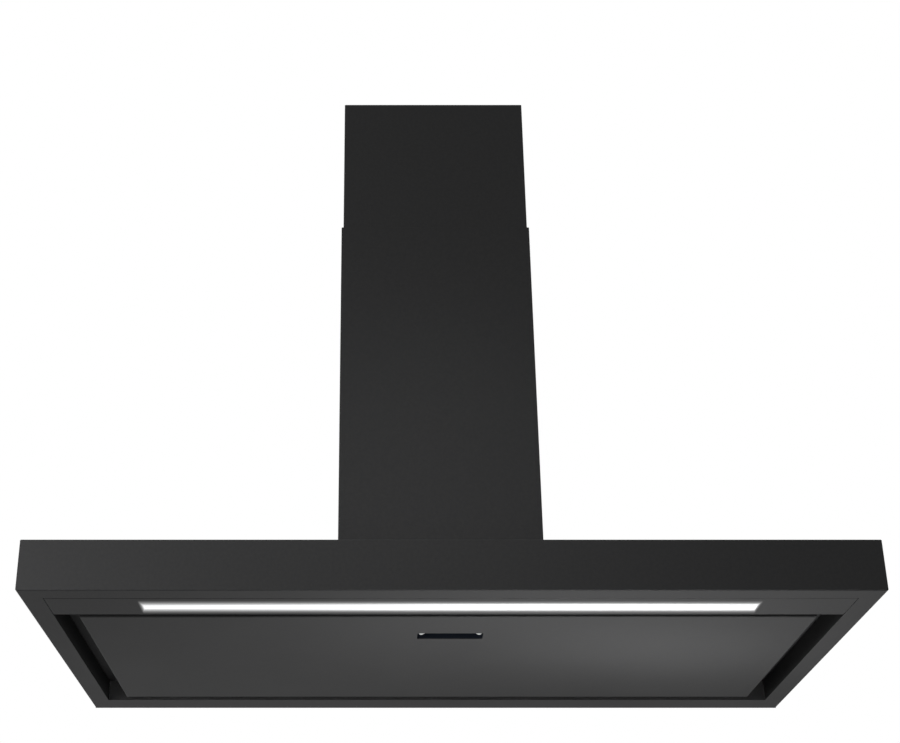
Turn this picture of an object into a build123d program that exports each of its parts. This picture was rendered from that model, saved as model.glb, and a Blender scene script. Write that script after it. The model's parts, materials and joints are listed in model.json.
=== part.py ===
from build123d import *
from math import acos, cos, degrees, radians, sin
import os

# A wall-mounted chimney range hood: a flat box canopy with a long lamp and a
# perimeter-suction panel underneath, a blower on top of it, and a two-part
# telescopic chimney cover round the blower.
# Millimetres. +X right, +Y towards the wall, +Z up. The origin is the bottom
# centre of the face that lies on the wall.

# ---------------------------------------------------------------- driving sizes
# Canopy: one folded sheet with flanges round a recess in its underside.
steel = 1.0
bend = 1.5                     # outside radius of a fold
canopy_width = 900.0
canopy_depth = 500.0
canopy_height = 56.0
front_flange = 26.0
side_flange = 23.5
rear_flange = 42.0
front_return = 11.0            # height of the folded-up front edges
recess_height = 26.0           # underside to the filter deck
seat_return = 8.0              # ledges that the filter deck lies on
air_opening_edge = 10.0        # blower box's side to the edge of the hole under it

# Wall fixing
wall_hole_radius = 4.0
wall_hole_spacing = 300.0
wall_hole_height = 40.0

# Lamp
seam = 0.6                     # open seam round the light panel
light_panel_depth = 58.0
lamp_length = 655.0
lamp_width = 30.0
lamp_from_front = 42.0         # canopy front to the lamp's front edge
lamp_gap = 0.3
lamp_lip = 4.0
lamp_lip_height = 2.0
channel_sheet = 1.5
channel_height = 17.0
channel_foot = 4.0
board_width = 14.0
board_sheet = 1.6
chip_size = 5.0
chip_height = 1.0
chip_count = 32

# Suction panel, a shallow tray hinged at its rear edge
panel_side_gap = 25.5
panel_end_gap = 12.0
panel_set_back = 1.0           # face of the panel above the flanges' face
panel_rim = 12.0
panel_lip = 12.0
pivot_from_rear = 10.0
pivot_height = 9.0             # above the canopy's underside
hinge_inset = 21.0             # panel side to the hinge bracket's outer face
hinge_sheet = 2.0
hinge_ear = 5.5                # radius of the rounded ears
hinge_foot = 14.0
hinge_gap = 0.4
pin_radius = 2.5
pin_end = 1.5                  # how far each pin stands out of its ears
running_gap = 0.05
notch_gap = 4.0

# Finger pull in the panel
pull_length = 74.0
pull_width = 22.6
pull_from_front = 62.0
pull_offset = 5.0
pull_wall = 1.5
pull_rim = 5.0
pull_depth = 9.0
pull_corner = 2.0
clip_length = 5.0
clip_reach = 1.6
clip_sheet = 0.6
clip_inset = 3.0

# Magnetic catches of the panel
catch_spread = 640.0
catch_length = 26.0
catch_width = 12.0
catch_gap = 0.3
strike_sheet = 1.0
magnet_length = 16.0
magnet_width = 7.0
magnet_height = 5.0

# Grease filters and the deck that carries them
filter_width = 262.0
filter_thickness = 9.0
filter_spacing = 280.0
filter_from_front = 26.0
filter_from_rear = 56.0
filter_sheet = 1.0
filter_rail = 14.0
deck_overlap = 6.0             # deck laps over each filter's edge
mesh_folds = 20
mesh_sheet = 0.9
ledge_sheet = 1.0
ledge_reach = 6.0
latch_width = 44.0
latch_depth = 20.0
latch_sheet = 1.4
latch_gap = 0.1
latch_tongue = 5.5
latch_tongue_width = 16.0
latch_tab = 5.0
latch_travel = 6.0
guide_inset = 10.0
guide_spread = 32.0
guide_neck = 3.2
guide_head = 6.0
guide_head_sheet = 0.9

# Blower
box_side_way = 45.5            # inlet ring to the box's side, for the air and the motor
box_from_wall = 15.0
box_sheet = 1.0
box_flange = 8.0
screw_head_radius = 3.4
screw_head = 1.8
scroll_wall = 2.0
fan_side_gap = 4.0             # blades' ends to the scroll's side walls
scroll_tip_gap = 9.0           # fan to the first radius of the spiral
scroll_growth = 8.0            # added to the radius at each quarter turn
scroll_flange = 4.0
scroll_clear = 6.0             # scroll to the box's front and rear
scroll_foot_gap = 18.0         # scroll to the box's foot
scroll_neck = 20.0             # straight neck above the spiral
impeller_radius = 75.0
blade_inner_radius = 60.0
blade_length = 50.0
blade_sheet = 1.0
blade_count = 24
blade_sweep = 9.0              # degrees between a blade's root and tip
blade_bow = 1.8
disc_sheet = 2.0
disc_overlap = 3.0             # the disc runs this far in between the blades
hoop_width = 4.0
hoop_sheet = 1.5
hoop_overlap = 1.0
hub_radius = 11.0
hub_length = 18.0
shaft_radius = 4.0
inlet_radius = 62.0
inlet_sheet = 1.5
inlet_flange_radius = 80.0
inlet_lip = 2.5
motor_radius = 40.0
motor_length = 52.0
motor_nose = 2.5
motor_nose_radius = 12.0
grommet_radius = 6.0
grommet_height = 4.0
spider_sheet = 2.0
spider_arm = 14.0
spider_ring_inner = 14.0
spider_ring_outer = 34.0
spider_hole_circle = 72.0
capacitor_radius = 17.0
capacitor_length = 62.0
capacitor_clip_sheet = 1.2
gland_radius = 10.0
gland_bore = 4.5
gland_nut = 5.0
gland_dome = 14.0

# Outlet with its non-return flaps
collar_radius = 74.5
collar_wall = 2.0
collar_length = 42.0
adapter_height = 38.0
adapter_flange = 8.0
adapter_flange_sheet = 2.0
flap_sheet = 1.2
flap_rim_gap = 0.7
flap_ledge = 3.5
flap_ledge_height = 2.0
flap_rest_gap = 0.3
flap_pin_radius = 1.5
flap_barrel_radius = 2.8
flap_pin_spread = 8.0
flap_barrel_end = 6.0
flap_height = 9.0              # ledge's top above the start of the collar

# Electrical boxes in the canopy
control_width = 120.0
control_depth = 90.0
control_height = 22.0
control_wall = 2.0
control_lid_sheet = 1.5
control_from_side = 45.0
control_from_wall = 240.0
control_board_gap = 5.0
terminal_length = 48.0
terminal_width = 14.0
terminal_height = 10.0
driver_length = 120.0
driver_width = 42.0
driver_height = 20.0
driver_ear = 9.0
driver_ear_sheet = 2.5

# Chimney covers
cover_side_gap = 20.0          # blower box to the outside of the lower cover
cover_front_gap = 25.0
lower_height = 531.0
upper_height = 514.0
chimney_overlap = 315.0
chimney_return = 20.0
cover_gap = 1.5
glide_clear = 0.3
glide_width = 20.0
glide_height = 30.0
glide_from_top = 12.0
glide_spread = 170.0
vent_length = 55.0
vent_width = 4.0
vent_pitch = 10.0
vent_count = 7
vent_from_top = 52.0
hanger_height = 36.0
hanger_from_top = 8.0
hanger_sheet = 1.5
hanger_arm = 45.0
hanger_step = 8.0
hanger_clear = 4.5             # hanger plate to the cover's returns
hanger_hole_radius = 3.5
hanger_hole_spacing = 140.0
cover_screw_head = 0.9
foot_length = 24.0
foot_leg = 12.0
foot_rise = 16.0
foot_sheet = 1.5
foot_spread = 130.0

# ---------------------------------------------------------------- derived places
half_width = canopy_width / 2
front_y = -canopy_depth
light_front_y = front_y + front_flange
light_rear_y = light_front_y + light_panel_depth
recess_rear_y = -rear_flange
recess_half = half_width - side_flange
deck_z = recess_height
canopy_inner_top = canopy_height - steel
lamp_y = front_y + lamp_from_front + lamp_width / 2

panel_half = recess_half - panel_side_gap
panel_front_y = light_rear_y + panel_end_gap
panel_rear_y = recess_rear_y - panel_end_gap
panel_z = panel_set_back
panel_floor_z = panel_z + steel
panel_rim_z = panel_z + panel_rim
pivot_y = panel_rear_y - pivot_from_rear
pivot_z = pivot_height
bracket_x = panel_half - hinge_inset
arm_x = bracket_x - hinge_sheet - hinge_gap
pull_front_y = panel_front_y + pull_from_front
pull_y = pull_front_y + pull_width / 2
catch_y = panel_front_y + panel_lip / 2
strike_z = panel_rim_z + strike_sheet

filter_front_y = light_rear_y + filter_from_front
filter_rear_y = recess_rear_y - filter_from_rear
filter_depth = filter_rear_y - filter_front_y
filter_y = (filter_front_y + filter_rear_y) / 2
filter_z = deck_z - filter_thickness
latch_top_z = filter_z - latch_gap
latch_z = latch_top_z - latch_sheet

# The scroll goes round the fan, the box round the scroll and the covers round the box.
scroll_start = impeller_radius + scroll_tip_gap
scroll_half_width = disc_sheet / 2 + blade_length + fan_side_gap
scroll_outer = scroll_half_width + scroll_wall
ring_face_x = scroll_outer + inlet_sheet
box_width = 2 * (ring_face_x + box_side_way + box_sheet)
fan_from_box_rear = box_sheet + scroll_clear + scroll_wall + scroll_start
fan_above_box_foot = (scroll_foot_gap + scroll_flange + scroll_wall + scroll_growth
                      + scroll_start)
box_depth = fan_from_box_rear + (scroll_start + 3 * scroll_growth + scroll_wall + scroll_clear
                                 + box_sheet)
box_height = fan_above_box_foot + scroll_start + scroll_neck
air_opening_width = box_width - 2 * air_opening_edge
air_opening_depth = box_depth - 2 * air_opening_edge
chimney_width = box_width + 2 * cover_side_gap
chimney_depth = box_from_wall + box_depth + cover_front_gap
chimney_y = -chimney_depth / 2
chimney_half = chimney_width / 2
lower_top_z = canopy_height + lower_height
upper_z = lower_top_z - chimney_overlap
upper_top_z = upper_z + upper_height
upper_half = chimney_half - steel - cover_gap
upper_front_y = -chimney_depth + steel + cover_gap
upper_rear_y = -steel - cover_gap

box_half = box_width / 2
box_rear_y = -box_from_wall
box_front_y = box_rear_y - box_depth
box_y = (box_rear_y + box_front_y) / 2
box_top_z = canopy_height + box_height
fan_y = box_rear_y - fan_from_box_rear
fan_z = canopy_height + fan_above_box_foot
scroll_top_z = box_top_z - box_sheet
outlet_front_y = fan_y - scroll_start - 3 * scroll_growth

collar_z = box_top_z + adapter_flange_sheet + adapter_height
collar_top_z = collar_z + collar_length
collar_inner = collar_radius - collar_wall
ledge_top_z = collar_z + flap_height
flap_z = ledge_top_z + flap_rest_gap
flap_pin_z = flap_z + flap_sheet + flap_pin_radius - running_gap


# ---------------------------------------------------------------- shared shapes
def folded_sheet(points, sheet, side=Side.LEFT, radius=bend):
    """Face of a sheet folded along the points, in the sketch being drawn."""
    with BuildLine() as outline:
        FilletPolyline(*points, radius=radius)
        offset(amount=sheet, side=side, kind=Kind.INTERSECTION)
    make_face(outline.edges())


def slab(x_span, y_span, z_span, mode=Mode.ADD):
    """Rectangular piece between two corners, in the part being built."""
    centre = [sum(span) / 2 for span in (x_span, y_span, z_span)]
    size = [span[1] - span[0] for span in (x_span, y_span, z_span)]
    with Locations(tuple(centre)):
        Box(*size, mode=mode)


def x_cylinder(x_span, y, z, radius, mode=Mode.ADD):
    """Cylinder along X, in the part being built."""
    with Locations(Plane.YZ.offset(x_span[0]) * Location((y, z, 0))):
        Cylinder(radius, x_span[1] - x_span[0],
                 align=(Align.CENTER, Align.CENTER, Align.MIN), mode=mode)


def z_cylinder(x, y, z_span, radius, mode=Mode.ADD):
    """Cylinder along Z, in the part being built."""
    with Locations((x, y, z_span[0])):
        Cylinder(radius, z_span[1] - z_span[0],
                 align=(Align.CENTER, Align.CENTER, Align.MIN), mode=mode)


# Fastener places that two or more pieces share
box_screw_points = [(side * (box_half + box_flange / 2), box_y + end * box_depth / 3)
                    for side in (-1, 1) for end in (-1, 1)]
foot_points = [(side * foot_spread / 2, -chimney_depth + steel) for side in (-1, 1)]
filter_x = {"left": -filter_spacing / 2, "right": filter_spacing / 2}
side_sign = {"left": -1, "right": 1}

pieces = []


# ---------------------------------------------------------------- canopy
with BuildPart() as canopy_shell:
    with BuildSketch(Plane.XY):
        with Locations((0, (front_y - steel) / 2)):
            Rectangle(canopy_width, canopy_depth - steel)
    extrude(amount=canopy_height)
    fillet(canopy_shell.edges().filter_by(Axis.X).group_by(Axis.Y)[0]
           + canopy_shell.edges().filter_by(Axis.Y), radius=bend)
    slab((-half_width + steel, half_width - steel), (front_y + steel, 0),
         (steel, canopy_inner_top), mode=Mode.SUBTRACT)
    slab((-recess_half, recess_half), (light_front_y, recess_rear_y), (0, steel),
         mode=Mode.SUBTRACT)
    # folded-up edges round the recess, with ledges for the filter deck
    with BuildSketch(Plane.XZ.offset(-recess_rear_y)):
        folded_sheet([(recess_half, 0), (recess_half, recess_height),
                      (recess_half + seat_return, recess_height)], steel, Side.RIGHT)
        folded_sheet([(-recess_half, 0), (-recess_half, recess_height),
                      (-recess_half - seat_return, recess_height)], steel, Side.LEFT)
    extrude(amount=recess_rear_y - light_front_y)
    with BuildSketch(Plane.YZ):
        folded_sheet([(recess_rear_y, 0), (recess_rear_y, recess_height),
                      (recess_rear_y + seat_return, recess_height)], steel, Side.RIGHT)
    extrude(amount=recess_half + steel, both=True)
    slab((-recess_half - steel, recess_half + steel), (light_front_y - steel, light_front_y),
         (0, front_return))
    # air opening under the blower
    slab((-air_opening_width / 2, air_opening_width / 2),
         (box_y - air_opening_depth / 2, box_y + air_opening_depth / 2),
         (canopy_inner_top, canopy_height), mode=Mode.SUBTRACT)
canopy_shell.part.label = "canopy_shell"
pieces.append(canopy_shell)

with BuildPart() as rear_plate:
    with BuildSketch(Plane.XZ) as plate_outline:
        with Locations((0, canopy_height / 2)):
            Rectangle(canopy_width, canopy_height)
        with Locations((0, wall_hole_height)):
            with GridLocations(wall_hole_spacing, 1, 2, 1):
                Circle(wall_hole_radius, mode=Mode.SUBTRACT)
    extrude(amount=steel)
rear_plate.part.label = "rear_plate"
pieces.append(rear_plate)


# ---------------------------------------------------------------- lamp
with BuildPart() as light_panel:
    with BuildSketch(Plane.YZ):
        folded_sheet([(light_front_y + seam, front_return), (light_front_y + seam, 0),
                      (light_rear_y, 0), (light_rear_y, recess_height),
                      (light_rear_y - seat_return, recess_height)], steel)
    extrude(amount=recess_half - seam, both=True)
    with BuildSketch(Plane.XY):
        with Locations((0, lamp_y)):
            Rectangle(lamp_length + 2 * lamp_gap, lamp_width + 2 * lamp_gap)
    extrude(amount=steel, mode=Mode.SUBTRACT)
light_panel.part.label = "light_panel"
pieces.append(light_panel)

with BuildPart() as light_diffuser:
    with BuildSketch(Plane.XY):
        with Locations((0, lamp_y)):
            Rectangle(lamp_length, lamp_width)
    extrude(amount=steel)
    with BuildSketch(Plane.XY.offset(steel)):
        with Locations((0, lamp_y)):
            Rectangle(lamp_length + 2 * lamp_lip, lamp_width + 2 * lamp_lip)
    extrude(amount=lamp_lip_height)
light_diffuser.part.label = "light_diffuser"
pieces.append(light_diffuser)

channel_half = lamp_width / 2 + lamp_lip + lamp_gap
channel_top = steel + channel_height
channel_end = lamp_length / 2 + lamp_lip + channel_sheet
with BuildPart() as light_channel:
    with BuildSketch(Plane.YZ):
        folded_sheet([(lamp_y - channel_half - channel_foot, steel), (lamp_y - channel_half, steel),
                      (lamp_y - channel_half, channel_top), (lamp_y + channel_half, channel_top),
                      (lamp_y + channel_half, steel), (lamp_y + channel_half + channel_foot, steel)],
                     channel_sheet, Side.LEFT, radius=0.8)
    extrude(amount=channel_end, both=True)
light_channel.part.label = "light_channel"
pieces.append(light_channel)

with BuildPart() as light_board:
    slab((-lamp_length / 2, lamp_length / 2), (lamp_y - board_width / 2, lamp_y + board_width / 2),
         (channel_top - board_sheet, channel_top))
light_board.part.label = "light_board"
pieces.append(light_board)

with BuildPart() as light_chips:
    chip_top = channel_top - board_sheet
    with Locations((0, lamp_y, chip_top)):
        with GridLocations(lamp_length / chip_count, 1, chip_count, 1):
            Box(chip_size, chip_size, chip_height,
                align=(Align.CENTER, Align.CENTER, Align.MAX))
light_chips.part.label = "light_chips"
pieces.append(light_chips)


# ---------------------------------------------------------------- filter deck
with BuildPart() as filter_deck:
    deck_half = recess_half + seat_return
    with BuildSketch(Plane.XY.offset(deck_z)):
        with Locations((0, (light_rear_y + recess_rear_y) / 2)):
            Rectangle(2 * deck_half, recess_rear_y - light_rear_y + 2 * seat_return)
        with Locations((0, filter_y)):
            with GridLocations(filter_spacing, 1, 2, 1):
                Rectangle(filter_width - 2 * deck_overlap, filter_depth - 2 * deck_overlap,
                          mode=Mode.SUBTRACT)
    extrude(amount=steel)
filter_deck.part.label = "filter_deck"
pieces.append(filter_deck)

# Z-shaped ledges under the deck hold each filter's rear edge.
with BuildPart() as filter_ledges:
    for x in filter_x.values():
        with BuildSketch(Plane.YZ.offset(x)):
            folded_sheet([(filter_rear_y + ledge_reach + steel, deck_z),
                          (filter_rear_y + steel, deck_z),
                          (filter_rear_y + steel, filter_z),
                          (filter_rear_y - ledge_reach, filter_z)],
                         ledge_sheet, Side.LEFT, radius=ledge_sheet)
        extrude(amount=filter_width / 3, both=True)
filter_ledges.part.label = "filter_ledges"
pieces.append(filter_ledges)

# L-shaped catches in front of the filters: the latches' tongues lie on them.
catch_face_y = filter_front_y - latch_tongue - 1.5
catch_leg_z = latch_z - latch_gap
with BuildPart() as filter_catches:
    for x in filter_x.values():
        with BuildSketch(Plane.YZ.offset(x)):
            folded_sheet([(catch_face_y - ledge_reach, deck_z), (catch_face_y, deck_z),
                          (catch_face_y, catch_leg_z),
                          (filter_front_y - latch_gap - 1.5, catch_leg_z)],
                         ledge_sheet, Side.RIGHT, radius=ledge_sheet)
        extrude(amount=latch_tongue_width, both=True)
filter_catches.part.label = "filter_catches"
pieces.append(filter_catches)


# ---------------------------------------------------------------- grease filters
frame_inner_width = filter_width - 2 * filter_sheet
frame_inner_depth = filter_depth - 2 * filter_sheet
pack_z = filter_z + filter_sheet
pack_height = filter_thickness - 2 * filter_sheet
guide_head_z = latch_z - latch_gap
for name, x in filter_x.items():
    with BuildPart() as filter_frame:
        with BuildSketch(Plane.XY.offset(filter_z)):
            with Locations((x, filter_y)):
                RectangleRounded(filter_width, filter_depth, 2 * bend)
        extrude(amount=filter_thickness)
        with BuildSketch(Plane.XY.offset(pack_z)):
            with Locations((x, filter_y)):
                Rectangle(frame_inner_width, frame_inner_depth)
        extrude(amount=pack_height, mode=Mode.SUBTRACT)
        with BuildSketch(Plane.XY.offset(filter_z)):
            with Locations((x, filter_y)):
                Rectangle(filter_width - 2 * filter_rail, filter_depth - 2 * filter_rail)
        extrude(amount=filter_thickness, mode=Mode.SUBTRACT)
        # two T-shaped guides under the front rail carry the latch
        with Locations((x, filter_front_y + guide_inset, filter_z)):
            with GridLocations(guide_spread, 1, 2, 1):
                Box(guide_neck, guide_neck, filter_z - guide_head_z,
                    align=(Align.CENTER, Align.CENTER, Align.MAX))
        with Locations((x, filter_front_y + guide_inset, guide_head_z)):
            with GridLocations(guide_spread, 1, 2, 1):
                Box(guide_head, guide_neck, guide_head_sheet,
                    align=(Align.CENTER, Align.CENTER, Align.MAX))
    filter_frame.part.label = f"filter_frame_{name}"
    pieces.append(filter_frame)

    # The mesh pack is folded to and fro across the frame.
    fold = frame_inner_width / mesh_folds
    crests = [(x - frame_inner_width / 2 + fold * i,
               pack_z + (pack_height - mesh_sheet * 1.5) * (i % 2))
              for i in range(mesh_folds + 1)]
    with BuildPart() as filter_mesh:
        with BuildSketch(Plane.XZ.offset(-filter_y)):
            with BuildLine():
                Polyline(*crests, *[(px, pz + mesh_sheet * 1.5) for px, pz in reversed(crests)],
                         close=True)
            make_face()
        extrude(amount=frame_inner_depth / 2, both=True)
    filter_mesh.part.label = f"filter_mesh_{name}"
    pieces.append(filter_mesh)

    with BuildPart() as filter_latch:
        with BuildSketch(Plane.XY.offset(latch_z)):
            with Locations((x, filter_front_y + latch_depth / 2)):
                Rectangle(latch_width, latch_depth)
            with Locations((x, filter_front_y - latch_tongue / 2)):
                Rectangle(latch_tongue_width, latch_tongue)
            # guide slots: the guides stand at their rear ends and the latch slides to the rear
            with Locations((x, filter_front_y + guide_inset - latch_travel / 2)):
                with GridLocations(guide_spread, 1, 2, 1):
                    Rectangle(guide_neck + 2 * latch_gap,
                              guide_neck + latch_travel + 2 * latch_gap, mode=Mode.SUBTRACT)
        extrude(amount=latch_sheet)
        slab((x - latch_width / 2, x + latch_width / 2),
             (filter_front_y + latch_depth - latch_sheet, filter_front_y + latch_depth),
             (latch_z - latch_tab, latch_z))
    filter_latch.part.label = f"filter_latch_{name}"
    pieces.append(filter_latch)


# ---------------------------------------------------------------- suction panel
with BuildPart() as suction_panel:
    panel_depth = panel_rear_y - panel_front_y
    panel_mid_y = (panel_rear_y + panel_front_y) / 2
    with BuildSketch(Plane.XY.offset(panel_z)):
        with Locations((0, panel_mid_y)):
            Rectangle(2 * panel_half, panel_depth)
    extrude(amount=panel_rim)
    fillet(suction_panel.edges().group_by(Axis.Z)[0], radius=bend)
    slab((-panel_half + steel, panel_half - steel), (panel_front_y + panel_lip, panel_rear_y - steel),
         (panel_floor_z, panel_rim_z), mode=Mode.SUBTRACT)
    slab((-panel_half + steel, panel_half - steel), (panel_front_y + steel, panel_front_y + panel_lip),
         (panel_floor_z, panel_rim_z - steel), mode=Mode.SUBTRACT)
    # the rear edge is cut away where the hinge brackets pass when the panel hangs open
    for side in (-1, 1):
        centre_x = side * (bracket_x - hinge_sheet / 2)
        half_notch = hinge_sheet + notch_gap
        slab((centre_x - half_notch, centre_x + half_notch), (panel_rear_y - 2 * bend, panel_rear_y),
             (panel_floor_z, panel_rim_z), mode=Mode.SUBTRACT)
    with BuildSketch(Plane.XY.offset(panel_z)):
        with Locations((pull_offset, pull_y)):
            RectangleRounded(pull_length, pull_width, pull_corner)
    extrude(amount=steel, mode=Mode.SUBTRACT)
suction_panel.part.label = "suction_panel"
pieces.append(suction_panel)

with BuildPart() as finger_pull:
    # rim on the panel's inner face, and a cup whose roof falls towards the front
    with BuildSketch(Plane.XY.offset(panel_floor_z)):
        with Locations((pull_offset, pull_y)):
            Rectangle(pull_length + 2 * pull_rim, pull_width + 2 * pull_rim)
    extrude(amount=pull_wall)
    with BuildSketch(Plane.XY.offset(panel_floor_z)):
        with Locations((pull_offset, pull_y)):
            Rectangle(pull_length + 2 * pull_wall, pull_width + 2 * pull_wall)
    extrude(amount=pull_depth + pull_wall - steel)
    with BuildSketch(Plane.XY.offset(panel_floor_z)):
        with Locations((pull_offset, pull_y)):
            RectangleRounded(pull_length, pull_width, pull_corner)
    extrude(amount=pull_depth - steel, taper=8, mode=Mode.SUBTRACT)
finger_pull.part.label = "finger_pull"
pieces.append(finger_pull)

# Two small plated spring clips hook over the slot's front edge near its corners.
with BuildPart() as pull_clips:
    for side in (-1, 1):
        clip_x = pull_offset + side * (pull_length / 2 - clip_inset - clip_length / 2)
        slab((clip_x - clip_length / 2, clip_x + clip_length / 2),
             (pull_front_y, pull_front_y + clip_reach), (panel_z, panel_z + clip_sheet))
        slab((clip_x - clip_length / 2, clip_x + clip_length / 2),
             (pull_front_y, pull_front_y + clip_sheet), (panel_z, panel_floor_z))
pull_clips.part.label = "pull_clips"
pieces.append(pull_clips)

with BuildPart() as strike_plates:
    with Locations((0, catch_y, panel_rim_z)):
        with GridLocations(catch_spread, 1, 2, 1):
            Box(catch_length, panel_lip - 2 * bend, strike_sheet,
                align=(Align.CENTER, Align.CENTER, Align.MIN))
strike_plates.part.label = "strike_plates"
pieces.append(strike_plates)

with BuildPart() as magnet_holders:
    magnet_z = strike_z + catch_gap
    with BuildSketch(Plane.XY.offset(magnet_z)):
        with Locations((0, catch_y)):
            with GridLocations(catch_spread, 1, 2, 1):
                Rectangle(catch_length + catch_width, catch_width)
    extrude(amount=deck_z - magnet_z)
    with Locations((0, catch_y, magnet_z)):
        with GridLocations(catch_spread, 1, 2, 1):
            Box(magnet_length, magnet_width, magnet_height, mode=Mode.SUBTRACT,
                align=(Align.CENTER, Align.CENTER, Align.MIN))
magnet_holders.part.label = "magnet_holders"
pieces.append(magnet_holders)

with BuildPart() as magnets:
    with Locations((0, catch_y, magnet_z)):
        with GridLocations(catch_spread, 1, 2, 1):
            Box(magnet_length, magnet_width, magnet_height,
                align=(Align.CENTER, Align.CENTER, Align.MIN))
magnets.part.label = "magnets"
pieces.append(magnets)

# Hinge: ears under the deck carry pins, and ears on the panel turn on them.
with BuildPart() as hinge_brackets:
    for side in (-1, 1):
        with BuildSketch(Plane.YZ.offset(side * bracket_x)):
            with Locations((pivot_y, pivot_z)):
                Circle(hinge_ear)
            with Locations((pivot_y, (pivot_z + deck_z) / 2)):
                Rectangle(2 * hinge_ear, deck_z - pivot_z)
            with Locations((pivot_y, pivot_z)):
                Circle(pin_radius, mode=Mode.SUBTRACT)
        extrude(amount=-side * hinge_sheet)
        slab(sorted((side * bracket_x, side * (bracket_x + hinge_foot))),
             (pivot_y - hinge_ear, pivot_y + hinge_ear), (deck_z - hinge_sheet, deck_z))
hinge_brackets.part.label = "hinge_brackets"
pieces.append(hinge_brackets)

pin_inner_x = arm_x - hinge_sheet - pin_end
with BuildPart() as hinge_pins:
    for side in (-1, 1):
        x_cylinder(sorted((side * pin_inner_x, side * (bracket_x + pin_end))), pivot_y, pivot_z,
                   pin_radius)
hinge_pins.part.label = "hinge_pins"
pieces.append(hinge_pins)

with BuildPart() as hinge_arms:
    for side in (-1, 1):
        with BuildSketch(Plane.YZ.offset(side * arm_x)):
            with Locations((pivot_y, pivot_z)):
                Circle(hinge_ear)
            with Locations((pivot_y, (pivot_z + panel_floor_z) / 2)):
                Rectangle(2 * hinge_ear, pivot_z - panel_floor_z)
            with Locations((pivot_y, pivot_z)):
                Circle(pin_radius + running_gap, mode=Mode.SUBTRACT)
        extrude(amount=-side * hinge_sheet)
        slab(sorted((side * arm_x, side * (arm_x - hinge_foot))),
             (pivot_y - 2 * hinge_foot, pivot_y + hinge_ear),
             (panel_floor_z, panel_floor_z + hinge_sheet))
hinge_arms.part.label = "hinge_arms"
pieces.append(hinge_arms)


# ---------------------------------------------------------------- blower housing
outlet_width = 2 * scroll_half_width
outlet_rear_y = fan_y
outlet_y = (outlet_front_y + outlet_rear_y) / 2
with BuildPart() as blower_box:
    with BuildSketch(Plane.XY.offset(canopy_height)):
        with Locations((0, box_y)):
            Rectangle(box_width, box_depth)
            Rectangle(box_width - 2 * box_sheet, box_depth - 2 * box_sheet, mode=Mode.SUBTRACT)
    extrude(amount=box_height)
    with BuildSketch(Plane.XY.offset(canopy_height)):
        with Locations((0, box_y)):
            Rectangle(box_width + 2 * box_flange, box_depth + 2 * box_flange)
            Rectangle(box_width, box_depth, mode=Mode.SUBTRACT)
    extrude(amount=box_sheet)
    with BuildSketch(Plane.XY.offset(scroll_top_z)):
        with Locations((0, box_y)):
            Rectangle(box_width, box_depth)
        with Locations((0, outlet_y)):
            Rectangle(outlet_width, outlet_rear_y - outlet_front_y, mode=Mode.SUBTRACT)
        with Locations((box_half - 2 * gland_radius, box_rear_y - 2 * gland_radius)):
            Circle(gland_bore, mode=Mode.SUBTRACT)
    extrude(amount=box_sheet)
blower_box.part.label = "blower_box"
pieces.append(blower_box)

# The screws' heads; their shanks inside the two sheets aren't drawn.
with BuildPart() as blower_screws:
    with BuildSketch(Plane.XY.offset(canopy_height + box_sheet)):
        with Locations(*box_screw_points):
            RegularPolygon(screw_head_radius, 6)
    extrude(amount=screw_head)
blower_screws.part.label = "blower_screws"
pieces.append(blower_screws)


def scroll_outline(wall, top):
    """Spiral of four quarter arcs round the fan, open to a straight neck that rises
    to the outlet. The wall is added outside it."""
    rear_r = scroll_start + wall
    low_r = rear_r + scroll_growth
    front_r = low_r + scroll_growth
    low_centre = (fan_y - scroll_growth, fan_z)
    front_centre = (fan_y - scroll_growth, fan_z + scroll_growth)
    front_point = (front_centre[0] - front_r, front_centre[1])
    neck_angle = degrees(acos(wall / rear_r))
    with BuildLine() as outline:
        rear_arc = CenterArc((fan_y, fan_z), rear_r, 0, neck_angle)
        CenterArc(low_centre, low_r, 270, 90)
        CenterArc(front_centre, front_r, 180, 90)
        Polyline(front_point, (front_point[0], top), (fan_y + wall, top), rear_arc @ 1)
    make_face(outline.edges())


scroll_halves = {}
for name, sign in side_sign.items():
    with BuildPart() as scroll_half:
        with BuildSketch(Plane.YZ):
            scroll_outline(scroll_wall, scroll_top_z)
        extrude(amount=sign * scroll_outer)
        with BuildSketch(Plane.YZ):
            scroll_outline(scroll_wall + scroll_flange, scroll_top_z - 2 * scroll_flange)
        extrude(amount=sign * scroll_wall)
        with BuildSketch(Plane.YZ):
            scroll_outline(0, scroll_top_z)
        extrude(amount=sign * scroll_half_width, mode=Mode.SUBTRACT)
        x_cylinder(sorted((0, sign * scroll_outer)), fan_y, fan_z, inlet_radius + 2 * scroll_wall,
                   mode=Mode.SUBTRACT)
    scroll_half.part.label = f"scroll_half_{name}"
    scroll_halves[name] = scroll_half
    pieces.append(scroll_half)

    # bellmouth of the inlet: a flange on the housing and a lip towards the fan
    with BuildPart() as inlet_ring:
        with BuildSketch(Plane.XY.offset(fan_z)):
            with BuildLine():
                lip_x = scroll_half_width - inlet_lip
                Polyline((sign * lip_x, fan_y + inlet_radius),
                         (sign * scroll_outer, fan_y + inlet_radius),
                         (sign * ring_face_x, fan_y + inlet_radius + inlet_sheet),
                         (sign * ring_face_x, fan_y + inlet_flange_radius),
                         (sign * scroll_outer, fan_y + inlet_flange_radius),
                         (sign * scroll_outer, fan_y + inlet_radius + inlet_sheet),
                         (sign * lip_x, fan_y + inlet_radius + inlet_sheet),
                         (sign * lip_x, fan_y + inlet_radius))
            make_face()
        revolve(axis=Axis((0, fan_y, fan_z), (1, 0, 0)))
    inlet_ring.part.label = f"inlet_ring_{name}"
    pieces.append(inlet_ring)


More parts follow.
